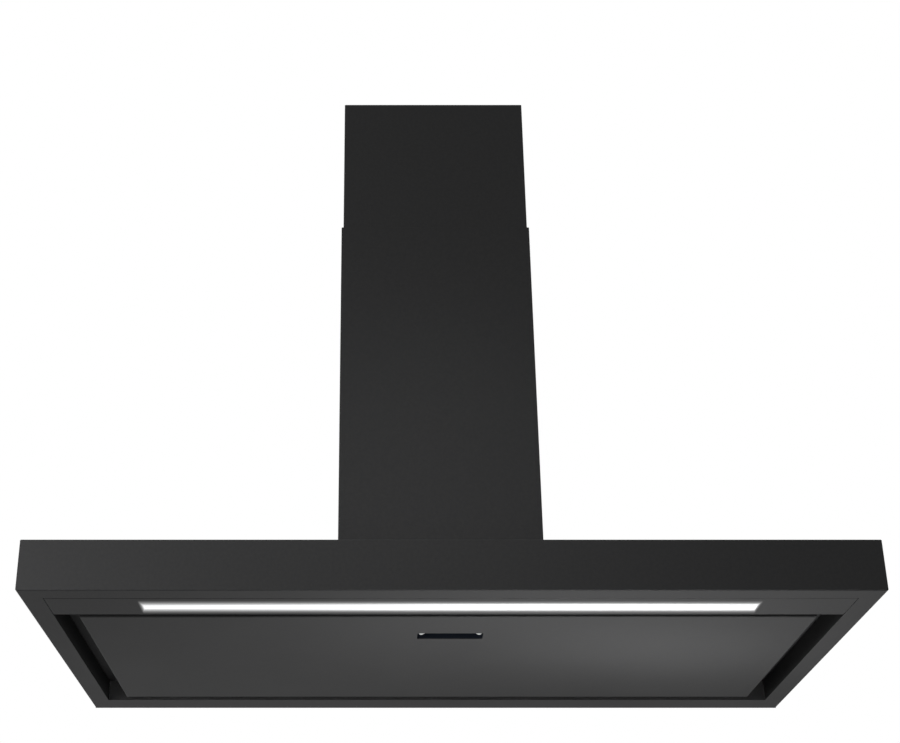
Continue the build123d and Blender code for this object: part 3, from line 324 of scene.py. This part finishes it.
def zinc_sheet(name):
    """Hot-dip galvanised sheet with its frosty crystals."""
    zinc = Finish(name, metallic=1.0)
    crystals = zinc.effect(spangle, crystal_size=8 * MM)
    grain = zinc.effect(fine_grain, grain_size=0.8 * MM, cloud_size=50 * MM)
    frost = zinc.blend(zinc.spread(crystals["Tone"], 0.0, 1.0, 0.1, 0.9),
                       (0.36, 0.37, 0.385), (0.55, 0.56, 0.57))
    zinc.colour(zinc.blend(zinc.spread(grain["Cloud"], 0.0, 0.35), frost, (0.33, 0.34, 0.35)))
    zinc.roughness(zinc.spread(crystals["Tone"], 0.36, 0.56, 0.1, 0.9))
    zinc.relief(crystals["Height"], 0.03 * MM)
    return zinc.material


def opal_cover(name, window):
    """Opal cover of the lamp, lit from behind: its glow falls off softly to a dark rim."""
    opal = Finish(name, specular=0.1, roughness=0.45, emission_strength=LAMP_GLOW)
    tree = opal.tree
    inside = opal.effect(lamp_reach, **window)["Inside"]
    share = opal.spread(inside, 0.0, 1.0, RISE_START, window["half_width"])
    grain = opal.effect(fine_grain, grain_size=0.9 * MM, cloud_size=120 * MM)
    full = opal.blend(opal.spread(grain["Cloud"], 0.0, 1.0), (1.0, 1.0, 1.0), (0.97, 0.985, 1.0))
    glow = opal.blend(arithmetic(tree, "MULTIPLY", share, share), (RIM_GLOW, RIM_GLOW, RIM_GLOW),
                      full)
    tree.links.new(glow, opal.shader.inputs["Emission Color"])
    pale = opal.blend(opal.spread(grain["Tone"], 0.0, 1.0), (0.8, 0.8, 0.8), (0.74, 0.75, 0.76))
    opal.colour(opal.blend(opal.spread(share, 0.0, 1.0, 0.05, 0.7), (0.03, 0.03, 0.03), pale))
    opal.relief(grain["Height"], 0.02 * MM)
    return opal.material


def solder_mask(name):
    """Green circuit board with faint copper tracks under its mask."""
    track_scale = 210.0            # tracks in a metre
    board = Finish(name, specular=0.5)
    place = add(board.tree, "ShaderNodeTexCoord").outputs["Object"]
    cells = add(board.tree, "ShaderNodeTexVoronoi", {"Vector": place, "Scale": track_scale},
                distance="MANHATTAN")
    grain = board.effect(fine_grain, grain_size=0.5 * MM, cloud_size=20 * MM)
    board.colour(board.blend(board.spread(cells.outputs["Distance"], 0.0, 1.0, 0.45, 0.55),
                             (0.012, 0.11, 0.045), (0.03, 0.2, 0.08)))
    board.roughness(board.spread(grain["Cloud"], 0.25, 0.4))
    board.relief(cells.outputs["Distance"], 0.03 * MM)
    return board.material


COVER_LIP = 4 * MM             # the cover's hidden border behind the light panel
cover_low, cover_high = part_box("light_diffuser")
lamp_window = {"middle_y": (cover_low.y + cover_high.y) / 2,
               "half_length": cover_high.x - COVER_LIP,
               "half_width": (cover_high.y - cover_low.y) / 2 - COVER_LIP}

sprayed_black = dict(dark=(0.0295, 0.0295, 0.03), light=(0.0328, 0.0328, 0.0332), roughness=0.55,
                     specular=0.09, depth=0.02 * MM, wear=0.1)
powder_coat = sprayed_finish("powder_coat", **sprayed_black).material
# The light panel's coat, with the lamp's spilt light painted on it as a glow round the window
lamp_surround_painted_glow = painted_spill_glow(
    sprayed_finish("lamp_surround_painted_glow", emission_strength=1.0, **sprayed_black), lamp_window)
# Inside coat: rougher and more worn than the outside, and darker as painted shade of the recess
# round the deck
inner_coat = sprayed_finish("inner_coat", (0.019, 0.019, 0.0195), (0.024, 0.024, 0.0245),
                            roughness=0.65, specular=0.12, depth=0.03 * MM, wear=0.3).material
black_plastic = moulded_plastic("black_plastic", (0.0025, 0.0044, 0.0085),
                                (0.0045, 0.007, 0.0125), roughness=0.5, specular=0.09)
grey_plastic = moulded_plastic("grey_plastic", (0.15, 0.155, 0.165), (0.2, 0.205, 0.215),
                               roughness=0.5)
pale_plastic = moulded_plastic("capacitor_case", (0.66, 0.66, 0.63), (0.74, 0.74, 0.71),
                               roughness=0.35)
rubber = moulded_plastic("rubber", (0.016, 0.016, 0.016), (0.024, 0.024, 0.024), roughness=0.75,
                         grain_size=0.8 * MM, specular=0.25)
chip_gel = moulded_plastic("lamp_chip", (0.82, 0.74, 0.36), (0.9, 0.83, 0.48), roughness=0.3)
aluminium = brushed_metal("aluminium", (0.56, 0.57, 0.58), (0.68, 0.69, 0.7), roughness=0.38,
                          stretch=(30.0, 2400.0, 2400.0))
net_aluminium = brushed_metal("filter_mesh", (0.5, 0.51, 0.52), (0.66, 0.67, 0.68),
                              roughness=0.42, stretch=(900.0, 900.0, 900.0))
plated_steel = brushed_metal("plated_steel", (0.6, 0.61, 0.61), (0.74, 0.75, 0.74),
                             roughness=0.3, stretch=(60.0, 1800.0, 1800.0))
motor_zinc = brushed_metal("motor_paint", (0.26, 0.265, 0.27), (0.35, 0.355, 0.36),
                           roughness=0.45, stretch=(1600.0, 60.0, 60.0))
magnet_nickel = brushed_metal("magnet", (0.5, 0.49, 0.47), (0.6, 0.59, 0.57), roughness=0.22,
                              stretch=(500.0, 500.0, 500.0))
galvanised = zinc_sheet("galvanised_steel")
opal = opal_cover("opal_plastic", lamp_window)
green_board = solder_mask("circuit_board")

finish_of_slot = {
    "powder_coat": powder_coat, "inner_coat": inner_coat, "opal_plastic": opal,
    "aluminium": aluminium, "filter_mesh": net_aluminium, "circuit_board": green_board,
    "lamp_chip": chip_gel, "black_plastic": black_plastic, "grey_plastic": grey_plastic,
    "plated_steel": plated_steel, "galvanised_steel": galvanised, "motor_paint": motor_zinc,
    "magnet": magnet_nickel, "rubber": rubber, "capacitor_case": pale_plastic,
}
for part in frame["record"]["subparts"]:
    for material_slot in nodes[part["node"]].material_slots:
        material_slot.material = finish_of_slot[part["material_slot"]]
# The light panel takes the coat with the painted glow of spilt lamp light
for material_slot in nodes["light_panel"].material_slots:
    material_slot.material = lamp_surround_painted_glow.material


# ---------------------------------------------------------------- small pieces that repeat
def make_fastener_tree(name, crossed):
    """Domed heads on points, each facing along the points' own direction."""
    cross_reach, cross_width = 1.15, 0.24      # of the screwdriver's cross, in head radii
    tree, given, result = new_group(
        "GeometryNodeTree", name,
        {"Geometry": None, "Head Radius": 3 * MM, "Head Height": 1.2 * MM, "Dome": 1 * MM},
        {"Geometry": "NodeSocketGeometry"})
    head = add(tree, "GeometryNodeMeshCylinder",
               {"Vertices": 20, "Side Segments": 1, "Fill Segments": 3,
                "Radius": given.outputs["Head Radius"], "Depth": given.outputs["Head Height"]},
               fill_type="TRIANGLE_FAN").outputs["Mesh"]
    place = add(tree, "GeometryNodeInputPosition").outputs[0]
    parts = add(tree, "ShaderNodeSeparateXYZ", {0: place}).outputs
    flat = add(tree, "ShaderNodeCombineXYZ", {0: parts[0], 1: parts[1]}).outputs[0]
    reach = add(tree, "ShaderNodeVectorMath", {0: flat}, operation="LENGTH").outputs["Value"]
    share = arithmetic(tree, "DIVIDE", reach, given.outputs["Head Radius"])
    fall = arithmetic(tree, "SUBTRACT", 1.0, arithmetic(tree, "MULTIPLY", share, share))
    lift = arithmetic(tree, "MULTIPLY", fall, given.outputs["Dome"])
    raised = add(tree, "ShaderNodeCombineXYZ", {2: lift}).outputs[0]
    upper = add(tree, "FunctionNodeCompare", {0: parts[2], 1: 0.0},
                operation="GREATER_THAN").outputs[0]
    domed = add(tree, "GeometryNodeSetPosition",
                {"Geometry": head, "Selection": upper, "Offset": raised}).outputs[0]
    seated_at = arithmetic(tree, "DIVIDE", given.outputs["Head Height"], 2.0)
    seat = add(tree, "ShaderNodeCombineXYZ", {2: seated_at}).outputs[0]
    seated = add(tree, "GeometryNodeTransform", {"Geometry": domed, "Translation": seat}).outputs[0]
    if crossed:
        long_side = arithmetic(tree, "MULTIPLY", given.outputs["Head Radius"], cross_reach)
        short_side = arithmetic(tree, "MULTIPLY", given.outputs["Head Radius"], cross_width)
        bars = []
        for sides in ((long_side, short_side), (short_side, long_side)):
            size = add(tree, "ShaderNodeCombineXYZ",
                       {0: sides[0], 1: sides[1], 2: given.outputs["Head Height"]}).outputs[0]
            bars.append(add(tree, "GeometryNodeMeshCube", {"Size": size}).outputs["Mesh"])
        cross_z = arithmetic(tree, "ADD", given.outputs["Head Height"], given.outputs["Dome"])
        cross_at = add(tree, "ShaderNodeCombineXYZ", {2: cross_z}).outputs[0]
        for bar in bars:
            moved = add(tree, "GeometryNodeTransform",
                        {"Geometry": bar, "Translation": cross_at}).outputs[0]
            cut = add(tree, "GeometryNodeMeshBoolean", {"Mesh 1": seated}, operation="DIFFERENCE")
            tree.links.new(moved, cut.inputs["Mesh 2"])
            seated = cut.outputs["Mesh"]
    facing = add(tree, "GeometryNodeInputNamedAttribute", {"Name": "facing"},
                 data_type="FLOAT_VECTOR").outputs["Attribute"]
    turn = add(tree, "FunctionNodeAlignRotationToVector", {"Vector": facing}, axis="Z").outputs[0]
    placed = add(tree, "GeometryNodeInstanceOnPoints",
                 {"Points": given.outputs["Geometry"], "Instance": seated, "Rotation": turn})
    real = add(tree, "GeometryNodeRealizeInstances", {"Geometry": placed.outputs[0]}).outputs[0]
    coated = add(tree, "GeometryNodeSetMaterial", {"Geometry": real})
    coated.name = "finish"
    tree.links.new(coated.outputs[0], result.inputs[0])
    return tree


def make_net_tree():
    """Expanded-metal net: a lattice of diamonds, trimmed to a window."""
    tree, given, result = new_group(
        "GeometryNodeTree", "expanded_net",
        {"Geometry": None, "Width": 0.234, "Depth": 0.264, "Cell Width": 7 * MM,
         "Cell Depth": 4 * MM, "Strand": 0.45 * MM},
        {"Geometry": "NodeSocketGeometry"})
    width, depth = given.outputs["Width"], given.outputs["Depth"]
    diagonal = math.sqrt(2)
    across = arithmetic(tree, "DIVIDE", width, given.outputs["Cell Width"])
    along = arithmetic(tree, "DIVIDE", depth, given.outputs["Cell Depth"])
    cells = arithmetic(tree, "ADD", across, along)
    count = arithmetic(tree, "CEIL", cells)
    side = arithmetic(tree, "DIVIDE", count, diagonal)
    vertices = arithmetic(tree, "ADD", count, 1.0)
    lattice = add(tree, "GeometryNodeMeshGrid",
                  {"Size X": side, "Size Y": side, "Vertices X": vertices,
                   "Vertices Y": vertices}).outputs["Mesh"]
    turned = add(tree, "GeometryNodeTransform",
                 {"Geometry": lattice, "Rotation": (0.0, 0.0, math.radians(45))}).outputs[0]
    stretch = add(tree, "ShaderNodeCombineXYZ", {0: given.outputs["Cell Width"],
                                                 1: given.outputs["Cell Depth"], 2: 1.0}).outputs[0]
    sized = add(tree, "GeometryNodeTransform", {"Geometry": turned, "Scale": stretch}).outputs[0]
    parts = add(tree, "ShaderNodeSeparateXYZ",
                {0: add(tree, "GeometryNodeInputPosition").outputs[0]}).outputs
    outside = [arithmetic(tree, "GREATER_THAN", arithmetic(tree, "ABSOLUTE", parts[axis]),
                          arithmetic(tree, "DIVIDE", limit, 2.0))
               for axis, limit in ((0, width), (1, depth))]
    beyond = arithmetic(tree, "MAXIMUM", *outside)
    trimmed = add(tree, "GeometryNodeDeleteGeometry", {"Geometry": sized, "Selection": beyond},
                  domain="POINT").outputs[0]
    lines = add(tree, "GeometryNodeMeshToCurve", {"Mesh": trimmed}).outputs[0]
    profile = add(tree, "GeometryNodeCurvePrimitiveCircle",
                  {"Resolution": 4, "Radius": given.outputs["Strand"]}).outputs["Curve"]
    strands = add(tree, "GeometryNodeCurveToMesh",
                  {"Curve": lines, "Profile Curve": profile, "Fill Caps": True}).outputs[0]
    real = add(tree, "GeometryNodeRealizeInstances", {"Geometry": strands}).outputs[0]
    coated = add(tree, "GeometryNodeSetMaterial", {"Geometry": real})
    coated.name = "finish"
    tree.links.new(coated.outputs[0], result.inputs[0])
    return tree


screw_tree = make_fastener_tree("crossed_screws", crossed=True)
rivet_tree = make_fastener_tree("domed_rivets", crossed=False)
net_tree = make_net_tree()


def link_mesh(name, mesh):
    piece = bpy.data.objects.new(name, mesh)
    bpy.context.scene.collection.objects.link(piece)
    return piece


def grow(name, tree, material, sizes, start=None, place=(0, 0, 0)):
    """Plain mesh piece that a tree grows from a starting mesh, set at its place."""
    seed = link_mesh(name + "_seed", start or bpy.data.meshes.new(name))
    tree.nodes["finish"].inputs["Material"].default_value = material
    modifier = seed.modifiers.new(name, "NODES")
    modifier.node_group = tree
    identifiers = {socket.name: socket.identifier for socket in tree.interface.items_tree
                   if socket.in_out == "INPUT"}
    for label, value in sizes.items():
        modifier[identifiers[label]] = value
    evaluated = seed.evaluated_get(bpy.context.evaluated_depsgraph_get())
    mesh = bpy.data.meshes.new_from_object(evaluated)
    seed.modifiers.remove(modifier)
    bpy.data.objects.remove(seed)
    mesh.transform(Matrix.Translation(place))
    mesh.name = name
    return link_mesh(name, mesh)


def set_fasteners(name, tree, body, places, radius, height, dome):
    """Plated heads at places, each a point and the direction that it faces."""
    points = bpy.data.meshes.new(name)
    points.from_pydata([point for point, _ in places], [], [])
    facing = points.attributes.new("facing", "FLOAT_VECTOR", "POINT")
    for i, (_, direction) in enumerate(places):
        facing.data[i].vector = direction
    piece = grow(name, tree, plated_steel,
                 {"Head Radius": radius, "Head Height": height, "Dome": dome}, points)
    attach(piece, body)


def middle(node):
    low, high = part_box(node)
    return (low + high) / 2


# Nets over both faces of each filter, inside the frame's rails
FILTER_RAIL = 14 * MM
NET_STRAND = 0.42 * MM
NET_CELL_WIDTH, NET_CELL_DEPTH = 8 * MM, 4.5 * MM
for side in ("left", "right"):
    low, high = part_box(f"filter_frame_{side}")
    pack_low, pack_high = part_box(f"filter_mesh_{side}")
    centre = (low + high) / 2
    window = high - low - Vector((2 * FILTER_RAIL, 2 * FILTER_RAIL, 0))
    for face, z in (("lower", pack_low.z - NET_STRAND), ("upper", pack_high.z + NET_STRAND)):
        net = grow(f"filter_net_{face}_{side}", net_tree, net_aluminium,
                   {"Width": window.x, "Depth": window.y, "Cell Width": NET_CELL_WIDTH,
                    "Cell Depth": NET_CELL_DEPTH, "Strand": NET_STRAND},
                   place=(centre.x, centre.y, z))
        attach(net, "root")

UP, DOWN = Vector((0, 0, 1)), Vector((0, 0, -1))
LEFT, RIGHT = Vector((-1, 0, 0)), Vector((1, 0, 0))
REAR = Vector((0, 1, 0))


def spots(xs, ys, zs, facing):
    """Every combination of the places along the three axes, all facing one way."""
    return [(Vector((x, y, z)), facing) for x in xs for y in ys for z in zs]


def both_sides(value):
    return -value, value


def evenly(low, high, count):
    return [low + (high - low) * i / (count - 1) for i in range(count)]


deck_low, deck_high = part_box("filter_deck")
lid_low, lid_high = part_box("control_lid")
pack_low, pack_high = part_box("filter_mesh_right")
frame_low, frame_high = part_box("filter_frame_right")
ledge_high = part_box("filter_ledges")[1]
catch_low, catch_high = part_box("filter_catches")
bracket_low, bracket_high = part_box("hinge_brackets")
arm_low, arm_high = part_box("hinge_arms")
holder_low, holder_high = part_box("magnet_holders")
pull_low, pull_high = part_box("finger_pull")
box_low, box_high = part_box("blower_box")
neck_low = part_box("outlet_adapter")[0]
shell_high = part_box("scroll_half_right")[1]
feet_low, feet_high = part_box("chimney_feet")

SHEET = 1 * MM
HINGE_SHEET = 2 * MM
BOX_FLANGE = 8 * MM            # foot of the blower box round its sides
FOOT_SHEET = 1.5 * MM
PULL_RIM_SHEET = 1.5 * MM
ADAPTER_FLANGE = 2 * MM
HOLDER_LENGTH = 38 * MM        # one magnet holder from end to end
# How far in from its piece's edges each head is set
DECK_RIVET_SIDE, DECK_RIVET_END = 4 * MM, 60 * MM
LID_SCREW_INSET = 6 * MM
FILTER_CORNER_INSET = 7 * MM
LEDGE_RIVET_INSET = 3 * MM
CATCH_RIVET_INSET = 2.6 * MM
BRACKET_SCREW_INSET = 6 * MM
ARM_SCREW_SIDE, ARM_SCREWS_ALONG = 8.5 * MM, (6 * MM, 20 * MM)
HOLDER_RIVET_INSET = 2.6 * MM
PULL_RIVET_INSET = 1.8 * MM
BOX_RIVET_SIDE, BOX_RIVET_FOOT, BOX_RIVET_TOP = 7 * MM, 22 * MM, 14 * MM
ADAPTER_SCREW_END = 9 * MM
FOOT_SCREW_SIDE, FOOT_SCREW_REAR = 12 * MM, 4.5 * MM
# Rivets in pairs stand this share of the way from a filter's middle to its ledge's end
RIVET_PAIR_SHARE = 0.6
ADAPTER_SCREW_OUTSET = 3.2 * MM        # these screws stand just beyond the scroll
BOX_RIVET_COUNT = 5
ADAPTER_SCREW_COUNT = 3

filter_middle_x = (pack_low.x + pack_high.x) / 2
ledge_rivet_x = [side * filter_middle_x + shift for side in (-1, 1)
                 for shift in both_sides(RIVET_PAIR_SHARE * (ledge_high.x - filter_middle_x))]
catch_rivet_x = [side * filter_middle_x + shift for side in (-1, 1)
                 for shift in both_sides(RIVET_PAIR_SHARE * (catch_high.x - filter_middle_x))]
holder_rivet_x = [side * (holder_high.x - inset) for side in (-1, 1)
                  for inset in (HOLDER_LENGTH - HOLDER_RIVET_INSET, HOLDER_RIVET_INSET)]
filter_corner_x = [side * x for side in (-1, 1)
                   for x in (frame_low.x + FILTER_CORNER_INSET,
                             frame_high.x - FILTER_CORNER_INSET)]
filter_corner_y = (frame_low.y + FILTER_CORNER_INSET, frame_high.y - FILTER_CORNER_INSET)
box_corner_y = (box_low.y + BOX_FLANGE + BOX_RIVET_SIDE, box_high.y - BOX_FLANGE - BOX_RIVET_SIDE)
box_rivet_z = evenly(box_low.z + BOX_RIVET_FOOT, box_high.z - BOX_RIVET_TOP, BOX_RIVET_COUNT)
hinge_y = (bracket_low.y + bracket_high.y) / 2

# name, tree, body, places; head radius, head height and dome in millimetres
fastener_sets = (
    # down through the deck's border into the canopy's ledges
    ("deck_rivets", rivet_tree, "root",
     spots(both_sides(deck_high.x - DECK_RIVET_SIDE),
           (deck_low.y + DECK_RIVET_END, middle("filter_deck").y, deck_high.y - DECK_RIVET_END),
           (deck_high.z,), UP), 3, 0.4, 0.8),
    ("control_lid_screws", screw_tree, "root",
     spots((lid_low.x + LID_SCREW_INSET, lid_high.x - LID_SCREW_INSET),
           (lid_low.y + LID_SCREW_INSET, lid_high.y - LID_SCREW_INSET), (lid_low.z,), DOWN),
     2.6, 0.8, 0.7),
    ("filter_corner_rivets", rivet_tree, "root",
     spots(filter_corner_x, filter_corner_y, (pack_low.z - SHEET,), DOWN), 2.1, 0.25, 0.6),
    ("filter_ledge_rivets", rivet_tree, "root",
     spots(ledge_rivet_x, (ledge_high.y - LEDGE_RIVET_INSET,), (ledge_high.z - SHEET,), DOWN),
     1.8, 0.3, 0.6),
    ("filter_catch_rivets", rivet_tree, "root",
     spots(catch_rivet_x, (catch_low.y + CATCH_RIVET_INSET,), (catch_high.z - SHEET,), DOWN),
     1.7, 0.3, 0.6),
    ("hinge_bracket_screws", screw_tree, "root",
     spots(both_sides(bracket_high.x - BRACKET_SCREW_INSET), (hinge_y,),
           (bracket_high.z - HINGE_SHEET,), DOWN), 2.7, 0.9, 0.8),
    ("hinge_arm_screws", screw_tree, "panel",
     spots(both_sides(arm_high.x - ARM_SCREW_SIDE),
           [arm_low.y + along for along in ARM_SCREWS_ALONG], (arm_low.z + HINGE_SHEET,), UP),
     2.7, 0.9, 0.8),
    ("magnet_holder_rivets", rivet_tree, "root",
     spots(holder_rivet_x, ((holder_low.y + holder_high.y) / 2,), (holder_low.z,), DOWN),
     1.9, 0.2, 0.4),
    ("finger_pull_rivets", rivet_tree, "panel",
     spots((pull_low.x + PULL_RIVET_INSET, pull_high.x - PULL_RIVET_INSET),
           (pull_low.y + PULL_RIVET_INSET, pull_high.y - PULL_RIVET_INSET),
           (pull_low.z + PULL_RIM_SHEET,), UP), 1.3, 0.2, 0.4),
    # the box's walls are riveted to a folded edge inside its corners
    ("box_rear_rivets", rivet_tree, "root",
     spots(both_sides(box_high.x - BOX_FLANGE - BOX_RIVET_SIDE), (box_high.y - BOX_FLANGE,),
           box_rivet_z, REAR), 2.4, 0.4, 0.9),
    ("box_side_rivets", rivet_tree, "root",
     spots((box_high.x - BOX_FLANGE,), box_corner_y, box_rivet_z, RIGHT)
     + spots((box_low.x + BOX_FLANGE,), box_corner_y, box_rivet_z, LEFT), 2.4, 0.4, 0.9),
    ("adapter_screws", screw_tree, "root",
     spots(both_sides(shell_high.x + ADAPTER_SCREW_OUTSET),
           evenly(neck_low.y + ADAPTER_SCREW_END, middle("impeller").y - ADAPTER_SCREW_END,
                  ADAPTER_SCREW_COUNT), (neck_low.z + ADAPTER_FLANGE,), UP), 2.5, 0.9, 0.9),
    ("chimney_foot_screws", screw_tree, "root",
     spots(both_sides(feet_high.x - FOOT_SCREW_SIDE), (feet_high.y - FOOT_SCREW_REAR,),
           (feet_low.z + FOOT_SHEET,), UP), 2.6, 0.8, 0.8),
)
for name, tree, body, places, radius, height, dome in fastener_sets:
    set_fasteners(name, tree, body, places, radius * MM, height * MM, dome * MM)


# Rounded lips that the two clips of the finger pull reach out into the slot
CLIP_LENGTH = 5 * MM
LIP_REACH = 4 * MM
LIP_SHEET = 0.4 * MM
LIP_SEAT = 0.2 * MM            # the lips start this far inside the clips
LIP_OFFSET = 1.1 * MM          # the lips stand out towards the slot's ends
LIP_STEPS = 12


def rounded_lip(middle_x, back_y, low_z, first):
    """Corners and faces of one half-round lip; its corners are numbered from first."""
    turns = [math.pi * i / LIP_STEPS for i in range(LIP_STEPS + 1)]
    outline = [(middle_x + CLIP_LENGTH / 2 * math.cos(turn), back_y + LIP_REACH * math.sin(turn))
               for turn in turns]
    count = len(outline)
    corners = [(x, y, z) for z in (low_z, low_z + LIP_SHEET) for x, y in outline]
    faces = [[first + i for i in reversed(range(count))], [first + count + i for i in range(count)]]
    faces += [[first + i, first + (i + 1) % count, first + count + (i + 1) % count,
               first + count + i] for i in range(count)]
    return corners, faces


clip_low, clip_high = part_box("pull_clips")
lip_corners, lip_faces = [], []
for lip_x in (clip_low.x + CLIP_LENGTH / 2 - LIP_OFFSET,
              clip_high.x - CLIP_LENGTH / 2 + LIP_OFFSET):
    corners, faces = rounded_lip(lip_x, clip_high.y - LIP_SEAT, clip_low.z, len(lip_corners))
    lip_corners += corners
    lip_faces += faces
lip_mesh = bpy.data.meshes.new("pull_clip_lips")
lip_mesh.from_pydata(lip_corners, [], lip_faces)
lip_mesh.materials.append(plated_steel)
clip_lips = link_mesh("pull_clip_lips", lip_mesh)
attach(clip_lips, "panel")


# ---------------------------------------------------------------- stage, camera and light
def seen_directly(tree):
    """1 for the camera's rays and those of reflections and glass, and 0 for the others."""
    rays = add(tree, "ShaderNodeLightPath").outputs
    return arithmetic(tree, "MAXIMUM", rays["Is Camera Ray"],
                      arithmetic(tree, "MAXIMUM", rays["Is Glossy Ray"],
                                 rays["Is Transmission Ray"]))


FLOOR_DROP = 2.4               # low enough for a look at the underside from below
FLOOR_REACH = 30.0
floor_mesh = bpy.data.meshes.new("floor")
floor_mesh.from_pydata([(x * FLOOR_REACH, y * FLOOR_REACH, -FLOOR_DROP)
                        for x, y in ((-1, -1), (1, -1), (1, 1), (-1, 1))], [], [(0, 1, 2, 3)])
floor = link_mesh("floor", floor_mesh)
floor_paint = Finish("floor_paint", specular=0.1, roughness=0.9)
floor_tone = floor_paint.effect(fine_grain, grain_size=4 * MM, cloud_size=0.9)
floor_paint.colour(floor_paint.blend(floor_tone["Cloud"], (0.78, 0.78, 0.78), (0.82, 0.82, 0.82)))
# Rays to the camera and in reflections see the floor nearly as pale as the background.
FLOOR_GLOW = 0.62
shown_floor = seen_directly(floor_paint.tree)
floor_paint.shader.inputs["Emission Color"].default_value = (1.0, 1.0, 1.0, 1.0)
floor_glow = arithmetic(floor_paint.tree, "MULTIPLY", shown_floor, FLOOR_GLOW)
floor_paint.tree.links.new(floor_glow, floor_paint.shader.inputs["Emission Strength"])
floor_mesh.materials.append(floor_paint.material)

LENS_MM = 62.0
SENSOR_MM = 36.0
CAMERA_PLACE = Vector((-0.075, -2.028, -0.496))
CAMERA_TILT = math.radians(24.39)      # the lens looks up by this much
FRAME_SHIFT = (0.0788, 0.05)           # the photograph's frame lies off the lens's axis
camera_data = bpy.data.cameras.new("camera")
camera_data.lens = LENS_MM
camera_data.sensor_width = SENSOR_MM
camera_data.shift_x, camera_data.shift_y = FRAME_SHIFT
camera = bpy.data.objects.new("camera", camera_data)
camera.location = CAMERA_PLACE
camera.rotation_euler = (math.radians(90) + CAMERA_TILT, 0, 0)
bpy.context.scene.collection.objects.link(camera)
bpy.context.scene.camera = camera


def soft_lamp(name, place, aim, width, height, power, spread=180):
    """Rectangular soft box that the camera doesn't see; spread is its beam, in degrees."""
    light = bpy.data.lights.new(name, "AREA")
    light.shape = "RECTANGLE"
    light.size, light.size_y = width, height
    light.energy = power
    light.spread = math.radians(spread)
    lamp = bpy.data.objects.new(name, light)
    lamp.location = place
    lamp.rotation_euler = (Vector(aim) - Vector(place)).to_track_quat("-Z", "Y").to_euler()
    lamp.visible_camera = False
    bpy.context.scene.collection.objects.link(lamp)


# Soft light from the left, a pool of light under the panel, a low strip for the rear of the gaps
# and a faint wash up the chimney's foot
soft_lamp("left_lamp", (-0.85, -1.15, 0.0), (-0.35, -0.5, 0.03), 0.5, 0.5, 7.0)
soft_lamp("front_left_lamp", (-1.6, -1.9, 0.2), (0.0, -0.45, 0.1), 1.0, 1.0, 3.8)
soft_lamp("panel_lamp", (0.15, -0.5, -0.9), (0.15, -0.42, 0.0), 0.5, 0.2, 0.83, spread=40)
soft_lamp("panel_rear_lamp", (0.3, -0.42, -0.9), (0.27, -0.26, 0.0), 0.25, 0.12, 0.14, spread=20)
soft_lamp("recess_lamp", (0.0, -1.2, -0.35), (0.0, -0.02, 0.02), 0.9, 0.05, 0.12, spread=12)
soft_lamp("chimney_foot_lamp", (0.0, -1.5, 1.0), (0.0, -0.25, 0.1), 0.4, 0.2, 0.165, spread=30)

AMBIENT = 0.2                  # the world's light on the object; the camera sees it as white
world = bpy.data.worlds.new("studio")
bpy.context.scene.world = world
world.use_nodes = True
sky = world.node_tree
background = sky.nodes["Background"]
strength = add(sky, "ShaderNodeMapRange",
               {"Value": seen_directly(sky), "To Min": AMBIENT, "To Max": 1.0})
background.inputs["Color"].default_value = (1.0, 1.0, 1.0, 1.0)
sky.links.new(strength.outputs["Result"], background.inputs["Strength"])

view_settings = bpy.context.scene.view_settings
view_settings.view_transform = "Standard"
